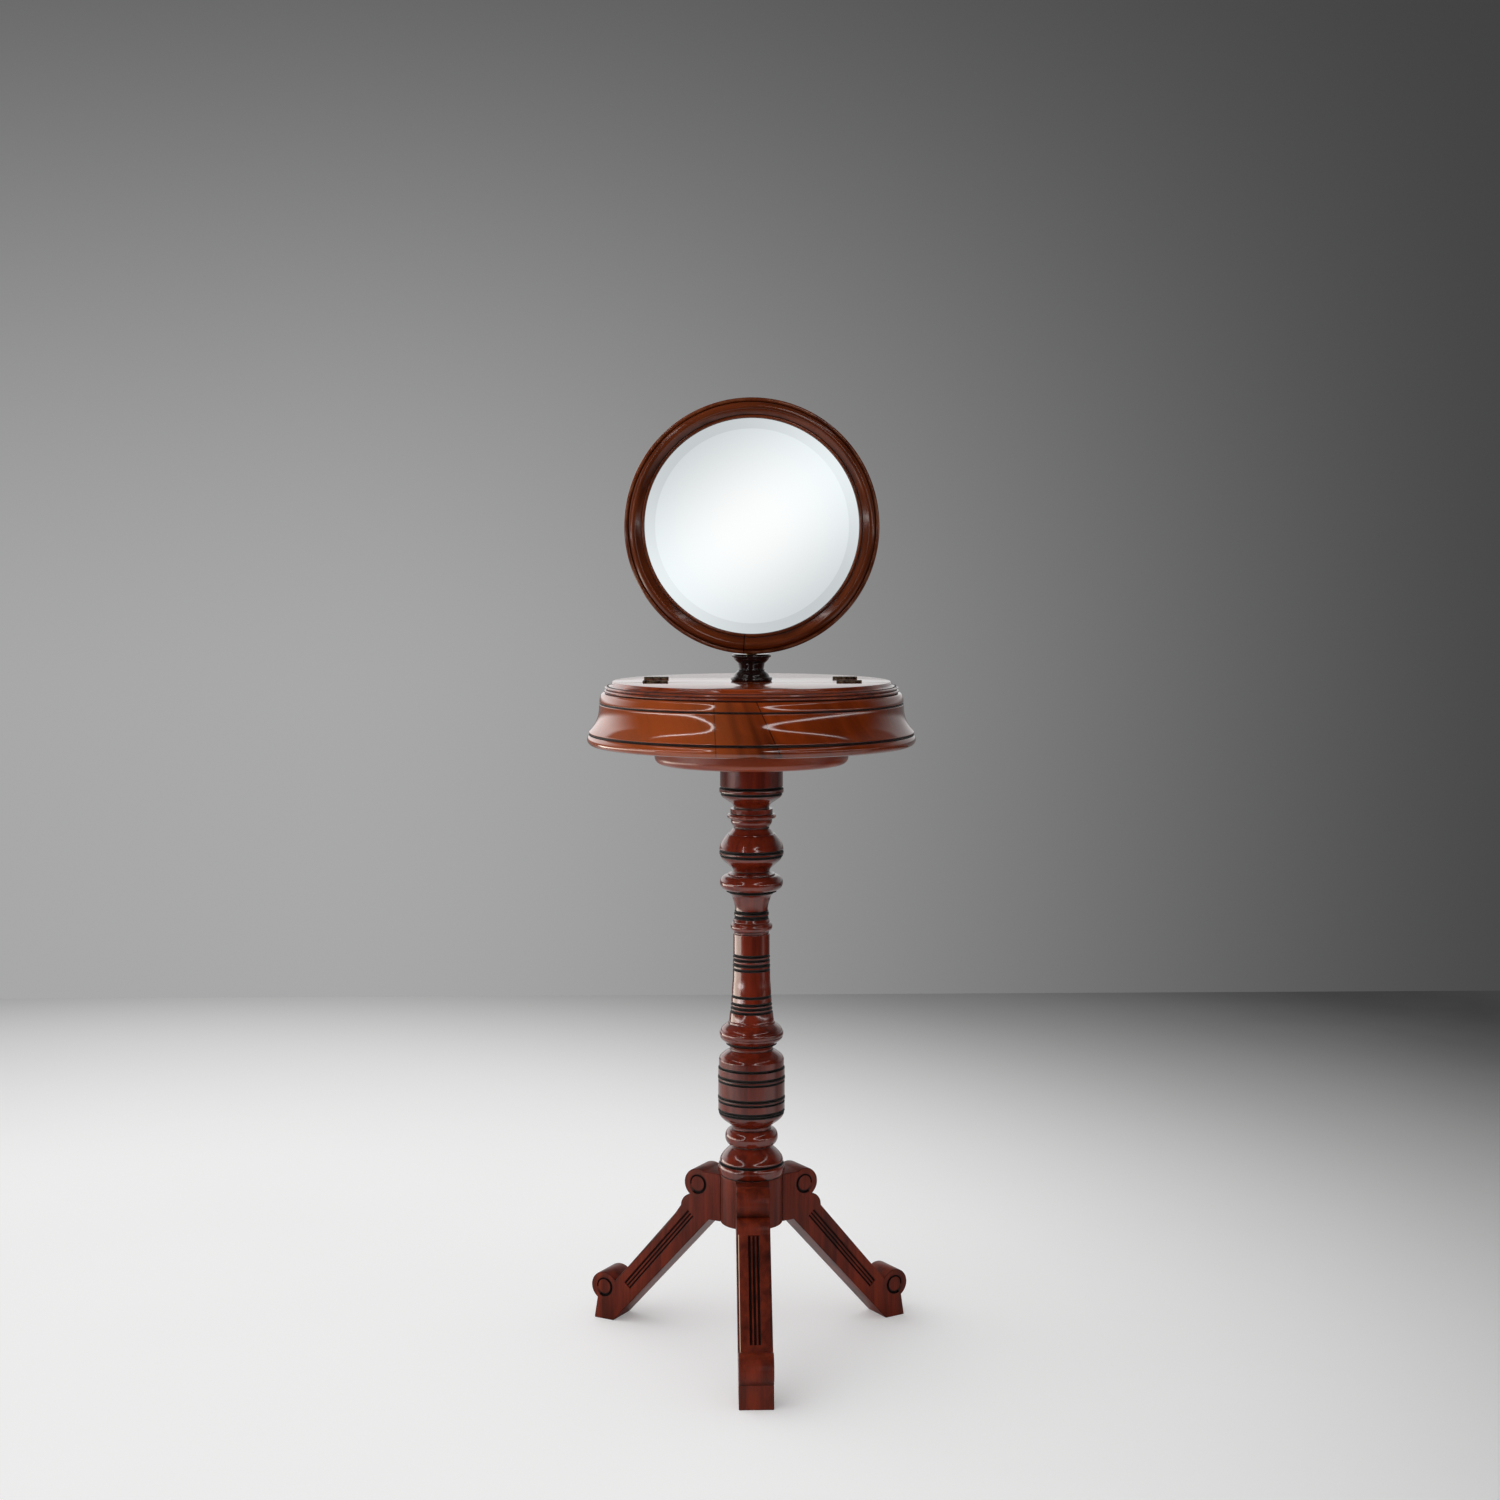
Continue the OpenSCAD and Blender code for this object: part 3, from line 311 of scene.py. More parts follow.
def turned(name, shown, hidden, steps, place=None, before=(), softness=0.3, cuts=None):
    """A turned piece: the shown outline is softened, and the plain points before and after it close it.

    Where cuts gives the heights of grooves, they are darkened, and just beside them too, partly as old polish and
    partly as painted shade; the other hollows are darkened much less.
    """
    step, reach, sharp = 0.45, 7, 40
    beside, in_cut, in_hollow, highest = 0.7, -0.8, 0.3, 0.7
    walk = softened(shown, step, softness)
    relief = relief_of(walk, reach)
    if cuts is not None:
        relief = [
            in_cut if any(low - beside < p.y < high + beside for low, high in cuts)
            else min(max(value, in_hollow * value), highest)
            for p, value in zip(walk, relief)
        ]
    walk, relief = thinned(walk, relief)
    relief = [0.0] * len(before) + relief + [0.0] * len(hidden)
    walk = [Vector(p) for p in before] + walk + [Vector(p) for p in hidden]
    return spun(name, walk, steps, sharp, place, relief)


def rounded_copy(node, rounds, sharp=35):
    """A merged copy of a CAD node with edges rounded: rounds holds pairs of a width and a test for an edge.

    The faces of the rounds are marked as raised edges, for wear and painted highlight.
    """
    bm = bmesh.new()
    bm.from_mesh(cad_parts[node].data)
    bmesh.ops.remove_doubles(bm, verts=bm.verts, dist=MERGE)
    bmesh.ops.dissolve_limit(bm, angle_limit=radians(0.3), verts=bm.verts, edges=bm.edges)
    bmesh.ops.recalc_face_normals(bm, faces=bm.faces)
    layer = bm.faces.layers.float.new("relief")
    for width, chosen in rounds:
        edges = [
            e for e in bm.edges if e.is_manifold and e.calc_face_angle(0) > radians(sharp) and chosen(e)
        ]
        made = bmesh.ops.bevel(
            bm, geom=edges, offset=width, offset_type="OFFSET", affect="EDGES", segments=3, profile=0.5,
            material=-1, clamp_overlap=False,
        )
        for face in made["faces"]:
            face[layer] = 1.0
    return bm, layer


def dress(obj, material, body, nodes):
    """Gives a new piece its material and its CAD body, and hides the nodes that it stands for."""
    obj.data.materials.append(material)
    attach(obj, body)
    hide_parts(*nodes)


def paint(node, material):
    """Gives a CAD node a better material, on the object's own slot."""
    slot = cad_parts[node].material_slots[0]
    slot.link = "OBJECT"
    slot.material = material


# Materials


def rgba(value):
    return (*value, 1.0)


class Graph:
    """A node tree with short ways to add nodes. An input is a plain value, or an output that is linked to it."""

    def __init__(self, tree):
        self.tree = tree

    def feed(self, sockets, inputs):
        for key, value in inputs.items():
            if isinstance(value, bpy.types.NodeSocket):
                self.tree.links.new(value, sockets[key])
            else:
                sockets[key].default_value = value

    def add(self, kind, inputs=None, **settings):
        """Adds a node and gives its outputs."""
        node = self.tree.nodes.new("ShaderNode" + kind)
        for key, value in settings.items():
            setattr(node, key, value)
        self.feed(node.inputs, inputs or {})
        return node.outputs

    def group(self, name, inputs):
        """Places a shared group, which is built when it is first used."""
        return self.add("Group", inputs, node_tree=bpy.data.node_groups.get(name) or GROUPS[name]())

    def maths(self, operation, a, b=0.0, clamp=False):
        return self.add("Math", {0: a, 1: b}, operation=operation, use_clamp=clamp)[0]

    def plus(self, a, b, clamp=False):
        return self.maths("ADD", a, b, clamp)

    def minus(self, a, b):
        return self.maths("SUBTRACT", a, b)

    def times(self, a, b):
        return self.maths("MULTIPLY", a, b)

    def gap(self, a, b):
        return self.maths("ABSOLUTE", self.minus(a, b))

    def towards(self, u, v, angle):
        """How far the point (u, v) lies in a direction."""
        return self.plus(self.times(u, cos(angle)), self.times(v, sin(angle)))

    def vector(self, operation, a, b=(0, 0, 0)):
        outputs = self.add("VectorMath", {0: a, 1: b}, operation=operation)
        return outputs["Value" if operation in ("LENGTH", "DISTANCE") else "Vector"]

    def joined(self, x, y, z=0.0):
        return self.add("CombineXYZ", {0: x, 1: y, 2: z})[0]

    def parts(self, vector):
        return list(self.add("SeparateXYZ", {0: vector}))

    def reach(self, u, v):
        """How far the point (u, v) lies from the origin."""
        return self.vector("LENGTH", self.joined(u, v))

    def place(self):
        return self.add("TexCoord")["Object"]

    def mapped(self, vector, **inputs):
        return self.add("Mapping", {"Vector": vector, **inputs})[0]

    def blend(self, factor, a, b):
        """Mixes two colours."""
        return self.add("Mix", {0: factor, 6: a, 7: b}, data_type="RGBA")[2]

    def mix(self, factor, a, b):
        """Mixes two values."""
        return self.add("Mix", {0: factor, 2: a, 3: b}, data_type="FLOAT")[0]

    def spread(self, value, low, high, to_low=0.0, to_high=1.0):
        """Maps low..high to to_low..to_high, smoothly, and clamps it."""
        inputs = {"Value": value, "From Min": low, "From Max": high, "To Min": to_low, "To Max": to_high}
        return self.add("MapRange", inputs, interpolation_type="SMOOTHSTEP")[0]

    def noise(self, vector, scale, detail, roughness=0.55, distortion=0.0):
        inputs = {
            "Vector": vector, "Scale": scale, "Detail": detail, "Roughness": roughness, "Distortion": distortion,
        }
        return self.add("TexNoise", inputs)["Fac"]

    def bump(self, height, strength, distance):
        inputs = {"Height": height, "Strength": strength, "Distance": distance * MM}
        return self.add("Bump", inputs)["Normal"]


def new_group(name, inputs, outputs):
    """A shader node group with named sockets, (name, kind, default) in and (name, kind) out.

    Gives its graph, what it is given and what it puts out.
    """
    tree = bpy.data.node_groups.new(name, "ShaderNodeTree")
    for label, kind, default in inputs:
        socket = tree.interface.new_socket(label, in_out="INPUT", socket_type="NodeSocket" + kind)
        socket.default_value = default
    for label, kind in outputs:
        tree.interface.new_socket(label, in_out="OUTPUT", socket_type="NodeSocket" + kind)
    return Graph(tree), tree.nodes.new("NodeGroupInput").outputs, tree.nodes.new("NodeGroupOutput").inputs


def wood_grain_group():
    """Streaks, slow figure and fine pores, with the grain along the vector's X."""
    graph, given, out = new_group(
        "Wood grain",
        [("Vector", "Vector", (0, 0, 0)), ("Dark", "Color", (0.05, 0.01, 0.01, 1)),
         ("Light", "Color", (0.2, 0.06, 0.03, 1)), ("Streaks", "Float", 90.0), ("Figure", "Float", 0.5),
         ("Pores", "Float", 0.5)],
        [("Color", "Color"), ("Height", "Float")],
    )

    def stretched(x):
        return graph.vector("MULTIPLY", given["Vector"], (x, 1, 1))

    streak_share = 0.6
    streak = graph.noise(stretched(0.07), given["Streaks"], 6.0, 0.6, 0.4)
    figure = graph.noise(stretched(0.3), graph.times(given["Streaks"], 0.14), 3.0, 0.55, 1.2)
    fine = graph.noise(stretched(0.03), graph.times(given["Streaks"], 9.0), 3.0, 0.6)
    tone = graph.plus(graph.times(graph.spread(streak, 0.3, 0.7), streak_share),
                      graph.times(graph.spread(figure, 0.3, 0.7), given["Figure"]))
    tone = graph.maths("DIVIDE", tone, graph.plus(given["Figure"], streak_share), clamp=True)
    tint = graph.blend(tone, given["Dark"], given["Light"])
    pore = graph.times(graph.spread(fine, 0.6, 0.72), given["Pores"])
    graph.feed(out, {
        "Color": graph.blend(pore, tint, given["Dark"]),
        "Height": graph.minus(graph.times(streak, 0.4), pore),
    })
    return graph.tree


def age_and_painted_light_group():
    """Worn edges and darkened hollows, from the piece's own relief: the edges are partly wear and partly painted
    highlight, the hollows partly grime and partly painted shade.
    """
    graph, given, out = new_group(
        "Age",
        [("Color", "Color", (0.2, 0.06, 0.03, 1)), ("Worn and highlit", "Color", (0.5, 0.3, 0.15, 1)),
         ("Grime and shade", "Color", (0.01, 0.005, 0.004, 1)), ("Wear and highlight", "Float", 0.5), ("Spare", "Float", 0.0),
         ("Dirt and shade", "Float", 0.9), ("Patches", "Float", 60.0)],
        [("Color", "Color"), ("Wear and highlight", "Float"), ("Dirt and shade", "Float")],
    )
    relief = graph.add("Attribute", attribute_name="relief")["Fac"]
    patches = graph.noise(graph.place(), given["Patches"], 3.0, 0.5)
    raised = graph.plus(graph.minus(relief, given["Spare"]), graph.times(patches, 1.6))
    worn_and_highlit = graph.times(graph.spread(raised, 1.15, 1.45), given["Wear and highlight"])
    sunk = graph.minus(graph.times(patches, 0.25), relief)
    dirt_and_shade = graph.times(graph.spread(sunk, 0.2, 0.42), given["Dirt and shade"])
    aged_and_highlit = graph.blend(worn_and_highlit, given["Color"], given["Worn and highlit"])
    graph.feed(out, {"Color": graph.blend(dirt_and_shade, aged_and_highlit, given["Grime and shade"]), "Wear and highlight": worn_and_highlit, "Dirt and shade": dirt_and_shade})
    return graph.tree


def polish_group():
    """Hand polish: cloudy roughness, and a surface that isn't quite level."""
    graph, given, out = new_group(
        "Polish",
        [("Roughness", "Float", 0.15), ("Clouds", "Float", 0.08), ("Size", "Float", 14.0)],
        [("Roughness", "Float"), ("Height", "Float")],
    )
    where = graph.place()
    clouds = graph.noise(where, given["Size"], 5.0, 0.6)
    rub = graph.noise(where, graph.times(given["Size"], 12.0), 3.0, 0.6)
    both = graph.plus(clouds, graph.times(rub, 0.4))
    change = graph.times(graph.minus(both, 0.7), given["Clouds"])
    graph.feed(out, {
        "Roughness": graph.plus(given["Roughness"], change, clamp=True),
        "Height": graph.plus(clouds, graph.times(rub, 0.1)),
    })
    return graph.tree


GROUPS = {"Wood grain": wood_grain_group, "Age": age_and_painted_light_group, "Polish": polish_group}


def new_material(name):
    """An empty material, with its graph and the inputs of its Principled BSDF."""
    material = bpy.data.materials.new(name)
    material.use_nodes = True
    tree = material.node_tree
    return material, Graph(tree), tree.nodes["Principled BSDF"].inputs


def ring_coordinates(graph, centre_z, about_y, radius, start):
    """Coordinates that follow a ring about Y or Z, in metres, with the angle round it and the place across it.

    X runs along the ring, Y outwards and Z across. They part at the angle start.
    """
    x, y, z = graph.parts(graph.place())
    z = graph.minus(z, centre_z)
    u, v, across = (x, z, y) if about_y else (x, y, z)
    turn = radians(start) - pi
    angle = graph.maths("ARCTAN2", graph.towards(v, u, -turn), graph.towards(u, v, turn))
    return graph.joined(graph.times(angle, radius), graph.reach(u, v), across), angle, across


def wood(name, dark, light, streaks, figure, pores, roughness, coat, wear_and_highlight, turn=(0, 0, 0), vector=None, marks=None,
         gloss=0.4, spare=0.0, dirt_and_shade=0.9, worn_and_highlit=None, patches=60.0):
    """A polished wood. dark and light are colours or the names of the user's. wear_and_highlight is a multiple of the
    user's.

    vector and marks may come from a builder that takes the material's graph.
    """
    name = "polished_" + name
    if name in bpy.data.materials:
        return bpy.data.materials[name]
    tones = bpy.context.scene.stand_wood
    dark, light = (getattr(tones, tone) if isinstance(tone, str) else tone for tone in (dark, light))
    material, graph, shader = new_material(name)
    grain = graph.group("Wood grain", {
        "Vector": vector(graph) if vector else graph.mapped(graph.place(), Rotation=turn),
        "Dark": rgba(dark), "Light": rgba(light), "Streaks": streaks, "Figure": figure, "Pores": pores,
    })
    age_and_light = graph.group("Age", {
        "Color": marks(graph, grain["Color"]) if marks else grain["Color"], "Worn and highlit": rgba(worn_and_highlit or tones.worn_and_highlit),
        "Grime and shade": rgba(tones.grime_and_shade), "Wear and highlight": wear_and_highlight * tones.wear_and_highlight, "Spare": spare, "Dirt and shade": dirt_and_shade, "Patches": patches,
    })
    polish = graph.group("Polish", {"Roughness": roughness})
    dull = graph.times(graph.plus(age_and_light["Wear and highlight"], age_and_light["Dirt and shade"]), 0.45)
    clean = graph.minus(1.0, graph.maths("MAXIMUM", age_and_light["Dirt and shade"], age_and_light["Wear and highlight"]))
    height = graph.plus(graph.times(grain["Height"], 0.25), graph.times(polish["Height"], 0.8))
    graph.feed(shader, {
        "Base Color": age_and_light["Color"],
        "Roughness": graph.plus(polish["Roughness"], dull, clamp=True),
        "Normal": graph.bump(height, 0.035, 1.0),
        "Specular IOR Level": gloss,
        "Coat Weight": graph.times(clean, coat),
        "Coat Roughness": 0.05,
    })
    return material


METALS = {
    "old_brass": ((0.16, 0.115, 0.07), (0.03, 0.02, 0.015), 0.42, 0.7),
    "bright_brass": ((0.72, 0.50, 0.22), (0.34, 0.2, 0.09), 0.24, 0.35),
    "steel": ((0.42, 0.42, 0.43), (0.12, 0.09, 0.07), 0.35, 0.5),
}


def metal(kind):
    """A metal with tarnish in clouds and fine scratches."""
    name = "aged_" + kind
    if name in bpy.data.materials:
        return bpy.data.materials[name]
    tint, tarnish, roughness, cover = METALS[kind]
    material, graph, shader = new_material(name)
    where = graph.place()
    clouds = graph.noise(where, 120.0, 6.0, 0.65)
    tarnished = graph.spread(clouds, 0.62 - 0.3 * cover, 0.82 - 0.3 * cover)
    scratches = graph.noise(graph.vector("MULTIPLY", where, (1, 1, 0.04)), 2600.0, 2.0)
    age_and_light = graph.group("Age", {
        "Color": graph.blend(tarnished, rgba(tint), rgba(tarnish)), "Worn and highlit": rgba(min(1, c * 1.3) for c in tint),
        "Grime and shade": rgba(c * 0.3 for c in tarnish), "Patches": 300.0,
    })
    cloudy = graph.spread(clouds, 0.3, 0.8, roughness - 0.08, roughness + 0.25)
    graph.feed(shader, {
        "Base Color": age_and_light["Color"],
        "Metallic": 1.0,
        "Roughness": graph.plus(cloudy, graph.times(scratches, 0.1), clamp=True),
        "Normal": graph.bump(scratches, 0.1, 0.1),
    })
    return material


UPRIGHT = (0, radians(90), 0)


def inner_wood():
    return wood("inner_wood", (0.10, 0.045, 0.02), (0.26, 0.13, 0.06), 60.0, 0.4, 0.8, roughness=0.5, coat=0.0,
                wear_and_highlight=0.2, dirt_and_shade=0.4)


def base_mahogany():
    """The legs' and hub's wood, with a soft painted shade in the volutes that is deepest on the hub's side."""
    grime_and_shade = bpy.context.scene.stand_wood.grime_and_shade

    def marks(graph, tint):
        volute_r = 0.0117
        x, y, z = graph.parts(graph.place())
        front, right, left = (graph.towards(x, y, radians(angle)) for angle in LEGS.values())
        out = graph.maths("MAXIMUM", graph.maths("MAXIMUM", front, right), left)
        for centre in SCROLLS:
            u, v = graph.minus(out, centre.x * MM), graph.minus(z, centre.y * MM)
            off = graph.gap(graph.reach(u, v), volute_r)
            shade = graph.times(graph.spread(off, 0.003, 0.0012),
                                graph.spread(graph.plus(u, v), 0.012, -0.006, 0.2, 0.9))
            tint = graph.blend(shade, tint, rgba(grime_and_shade))
        return tint

    # The pale worn colour here paints the highlight along the front limb's left edge.
    return wood("base_mahogany", "base_dark", "base_light", 80.0, 0.4, 0.5, turn=UPRIGHT, marks=marks,
                roughness=0.36, coat=0.0, gloss=0.14, wear_and_highlight=1.6, spare=0.55, dirt_and_shade=0.95,
                worn_and_highlit=(0.88, 0.62, 0.45), patches=34.0)


def column_mahogany():
    # Its raised arrises take the worn colour partly as painted highlights, and its grooves are darkened partly as
    # painted shade.
    return wood("column_mahogany", "column_dark", "column_light", 80.0, 0.4, 0.5, turn=UPRIGHT, roughness=0.17,
                coat=0.35, gloss=0.35, wear_and_highlight=0.7, spare=0.35, dirt_and_shade=1.0)


def disc_mahogany():
    # The same mahogany in lighter tones, as painted light from the pale floor below.
    return wood("disc_mahogany", "base_light", "case_light", 50.0, 0.4, 0.4, roughness=0.3, coat=0.2, wear_and_highlight=0.0)


def lid_mahogany():
    return wood("lid_mahogany", "column_dark", "case_light", 55.0, 0.5, 0.5, roughness=0.14, coat=0.4, wear_and_highlight=0.5)


def case_veneer():
    """Veneer laid round the case in leaves, with the joints near the front. Its left side is painted lighter, as
    light falling from the left, and the right of its front is painted darker, as shade.
    """
    tones = bpy.context.scene.stand_wood
    lit_tint = (0.34, 0.075, 0.018)
    middle_z = 0.867
    # Joints and dark streaks at the front: X at the middle height, lean, width and strength
    bands = ((0.001, 0.45, 0.0011, 0.8), (-0.051, 0.04, 0.0009, 0.6), (-0.033, 0.25, 0.009, 0.3),
             (-0.014, 0.35, 0.007, 0.4), (-0.003, 0.45, 0.012, 0.3))

    def vector(graph):
        ring, _, across = ring_coordinates(graph, 0.84, False, 0.205, 90)
        along, out, _ = graph.parts(ring)
        return graph.joined(across, graph.plus(along, graph.times(across, 0.6)), out)

    def marks(graph, tint):
        x, y, z = graph.parts(graph.place())
        front = graph.spread(y, 0.0, -0.1)
        down = graph.minus(middle_z, z)
        # Painted light: the left side is tinted lighter.
        tint = graph.blend(graph.times(graph.spread(x, 0.03, -0.06), 0.55), tint, rgba(lit_tint))
        # Painted shade: the right of the front is darkened.
        shade = graph.times(graph.spread(x, 0.0, 0.12, 0.0, 0.42), front)
        tint = graph.blend(shade, tint, rgba(tones.case_dark))
        for start, lean, width, strength in bands:
            off = graph.gap(x, graph.plus(graph.times(down, lean), start))
            mask = graph.times(graph.spread(off, width, 0.0003), front)
            tint = graph.blend(graph.times(mask, strength), tint, rgba(tones.grime_and_shade))
        return tint

    return wood("case_veneer", "case_dark", "case_light", 46.0, 0.9, 0.35, vector=vector, marks=marks,
                roughness=0.1, coat=0.5, gloss=0.28, wear_and_highlight=0.2, spare=0.4, dirt_and_shade=0.95, worn_and_highlit=(0.62, 0.36, 0.2))


def frame_mahogany():
    """Ring frame with the grain along the ring, parted at its one joint at the bottom."""
    grime_and_shade = bpy.context.scene.stand_wood.grime_and_shade

    def ring(graph):
        return ring_coordinates(graph, MIRROR_Z, True, 0.15, -94.0)

    def vector(graph):
        return ring(graph)[0]

    def marks(graph, tint):
        off = graph.minus(pi, graph.maths("ABSOLUTE", ring(graph)[1]))
        mask = graph.spread(off, 0.0062, 0.0028)
        return graph.blend(graph.times(mask, 0.9), tint, rgba(grime_and_shade))

    return wood("frame_mahogany", "frame_dark", "frame_light", 120.0, 0.5, 0.4, vector=vector, marks=marks,
                roughness=0.18, coat=0.08, gloss=0.25, wear_and_highlight=0.2, spare=0.6)


def ebonised_wood():
    return wood("ebonised_wood", (0.006, 0.003, 0.003), (0.022, 0.009, 0.007), 90.0, 0.3, 0.4, roughness=0.14,
                coat=0.2, gloss=0.3, wear_and_highlight=0.0, dirt_and_shade=0.0)


def silvered_glass():
    """Bevelled mirror plate: bright silver, painted cooler towards the rim as a painted reflection, and specks of old
    silvering at the edge.
    """
    glass = bpy.context.scene.stand_mirror
    material, graph, shader = new_material("bevelled_mirror")
    where = graph.place()
    flat = graph.vector("MULTIPLY", graph.mapped(where, Location=(0, 0, -MIRROR_Z)), (1, 0, 1))
    away = graph.vector("LENGTH", flat)
    tint = graph.blend(graph.spread(away, 0.03, 0.14), rgba(glass.silver), rgba(glass.painted_rim_reflection))
    specks = graph.spread(graph.noise(where, 700.0, 3.0, 0.6), 0.74, 0.8)
    specks = graph.times(specks, graph.spread(away, 0.128, 0.1375))
    graph.feed(shader, {
        "Base Color": graph.blend(specks, tint, (0.10, 0.08, 0.06, 1)), "Metallic": 1.0, "Roughness": 0.0,
    })
    return material


# Operators


class STAND_OT_column(Operator):
    """Turn the column and the hub"""

    bl_idname = "stand.column"
    bl_label = "Column and hub"

    def execute(self, context):
        base_ring, vase, barrel, lower_knop, shaft, upper_knop, bulb, disc, block, cut, soft = (
            getattr(context.scene.stand_column, size) / MM for size in ColumnSettings.__annotations__
        )

        def cut_at(r):
            return groove(r, cut)

        double = [cut_at(barrel), straight(3.4, barrel + 0.4), cut_at(barrel)]
        turnings = [
            # base ring, vase and the bead above it
            straight(1.5, base_ring - 3.2), bead(14.5, base_ring - 2.4, base_ring), cut_at(vase - 1),
            fall(20.5, vase, 26.3), straight(1.4, 26.3), bead(22, 26.6, 34.9), straight(4.5, 25.8),
            # barrel
            swell(17.2, 25.9, barrel - 0.8),
            cut_at(barrel - 0.6), straight(0.9, barrel), cut_at(barrel), straight(9.73, barrel), *double,
            straight(18.79, barrel), *double, straight(9.49, barrel), cut_at(barrel - 0.8),
            straight(9, barrel - 1.1), fall(12.4, barrel - 1.4, 28.6), straight(2.4, 28.2),
            # lower knop
            flare(5, 28.4, 33), cut_at(33.6), swell(8, 34, lower_knop - 0.8),
            bead(8, lower_knop - 1.6, lower_knop), fall(9.4, lower_knop - 1.8, 31), straight(2.9, 30.6),
            # shaft, with four sets of grooves and a ring
            fall(12.3, 29.4, shaft + 4.1), cut_at(shaft + 3.6), bead(3.1, shaft + 3, shaft + 3.7),
            cut_at(shaft + 3.1), bead(3.1, shaft + 2.6, shaft + 3.3), cut_at(shaft + 2.8),
            taper(7.1, shaft + 2.8, shaft + 2.2), cut_at(shaft + 2.1), fall(20.8, shaft + 2, shaft + 0.6),
            straight(12.3, shaft + 0.6), cut_at(shaft + 0.6), straight(4.1, shaft + 0.6), cut_at(shaft + 0.5),
            bead(4.1, shaft - 0.2, shaft + 0.5), cut_at(shaft + 0.4), bead(3.1, shaft - 0.2, shaft + 0.5),
            cut_at(shaft + 0.3), straight(26.8, shaft), flare(4, shaft - 1.2, shaft - 0.4),
            bead(11, shaft - 0.4, shaft + 3.5), fall(6.8, shaft, shaft - 2.2), cut_at(shaft - 1.4),
            straight(3.6, shaft - 1.1), cut_at(shaft - 1.4), flare(15.8, shaft - 2.6, shaft + 0.6),
            # upper knop
            flare(9.6, shaft + 0.7, 31.5), cut_at(33), bead(19.5, 32.4, upper_knop), straight(2.2, 30.4),
            # bulb
            taper(2.3, 28.6, 23.6), ogee(20.6, 23.5, bulb - 2), cut_at(bulb - 0.8), straight(3.8, bulb),
            cut_at(bulb), straight(1, bulb), fall(18.6, bulb - 0.3, 31.8), straight(1.2, 30.8),
            # thin disc
            taper(7, 29, 24.2), straight(2.4, 23.2), swell(7, 23.2, 27), straight(3.6, 27),
            bead(6, disc - 3, disc), straight(6.8, 27.6),
            # block
            taper(2.8, 23.2, 23), ogee(16, 23.4, block - 1), cut_at(block - 0.6),
            bead(5.6, block + 0.4, block + 1), cut_at(block - 0.6), straight(30, block),
        ]
        low, foot = ends("hub", Z)
        pin_r, pin_end = 16, foot - 45
        tenon_r, tenon_h = 22, 16
        bush_r, bush_h = 13.15, 25.05
        bore_r, bore_end = 10, 441.4
        shown = [(pin_r, foot)] + stacked(turnings, foot)
        top = shown[-1][1]
        hidden = [
            (tenon_r, top + tenon_h), (bush_r, top + tenon_h), (bush_r, top - bush_h), (bore_r, top - bush_h),
            (bore_r, bore_end), (0, bore_end),
        ]
        # The line at the foot, where the column stands on the hub, is darkened as painted shade; the grooves are
        # darkened partly as old polish and partly as painted shade.
        column = turned(
            "turned_column", [*shown, (tenon_r, top)], hidden, 96, before=[(0, pin_end), (pin_r, pin_end)],
            softness=soft, cuts=[(foot - 1, foot + 1)] + cut_spans(turnings, foot),
        )
        dress(column, column_mahogany(), "stand", ["column"])
        socket_r, socket_end = 16.1, foot - 45.3
        hub = turned(
            "turned_hub", [(30, low), (40, low), (41, low + 1), (41, foot - 0.6), (40.4, foot)],
            [(socket_r, foot), (socket_r, socket_end), (0, socket_end)], 96, before=[(0, low)],
        )
        dress(hub, base_mahogany(), "stand", ["hub"])
        return {"FINISHED"}


class STAND_OT_legs(Operator):
    """Round the edges of the three scrolled legs, paint shade into their hollows and a highlight along the front
    limb's left edge
    """

    bl_idname = "stand.legs"
    bl_label = "Legs"

    def execute(self, context):
        half = (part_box("leg_front")[1].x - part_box("leg_front")[0].x) / 2
        legs = context.scene.stand_legs
        for node, angle in LEGS.items():
            to_leg = Matrix.Rotation(radians(-angle), 3, "Z")

            def outline(edge):
                points = [to_leg @ v.co for v in edge.verts]
                flush = all(abs(abs(p.y) - half) < 0.05 * MM for p in points)
                return flush and edge.is_convex and not any(carved(p) for p in points)

            def limb_edge(edge):
                places = [limb_place(to_leg @ v.co) for v in edge.verts]
                return outline(edge) and all(-0.5 < along < 180 and abs(deep) < 0.3 for along, deep in places)

            bm, layer = rounded_copy(node, (
                (legs.limb_edge, limb_edge), (legs.edge, lambda edge: outline(edge) and not limb_edge(edge)),
            ))
            for face in bm.faces:
                middle = to_leg @ face.calc_center_median()
                sunk = (half - abs(middle.y)) / MM
                along, deep = limb_place(middle)
                if face[layer] > 0:
                    # The front limb's left round takes the pale worn colour as a painted highlight. The other rounds
                    # are darker
                    painted_highlight = node == "leg_front" and 0 < along < 165 and sunk > 1.6 and middle.y < 0
                    face[layer] = 1.35 if painted_highlight else -0.16
                # The lower halves of the scrolls' rounds are painted darker as shade, the more so the more they face
                # down.
                elif under_scroll(middle, face.normal.z):
                    face[layer] = -0.1 - 0.14 * abs(face.normal.z)
                # The volutes' grooves, the side fields and the front flutes are darkened as painted shade.
                elif in_volute(middle) and 0.2 < sunk < 3:
                    face[layer] = -0.45
                elif carved(middle) and 0.1 < sunk < 4:
                    face[layer] = hollow(sunk)
                elif 0 < along < 150 and 0.1 < deep < 4 and abs(middle.y) < 9 * MM:
                    face[layer] = hollow(deep)
            leg = finished(bm, "carved_" + node, 25)
            dress(leg, base_mahogany(), "stand", [node])
        return {"FINISHED"}


def hollow(depth):
    """Relief value, a painted shade, of a fluted field's walls, its floor and the flutes in it, from their depth in
    millimetres.
    """
    return -0.4 if depth < 0.8 else -0.24 * (depth - 0.6)


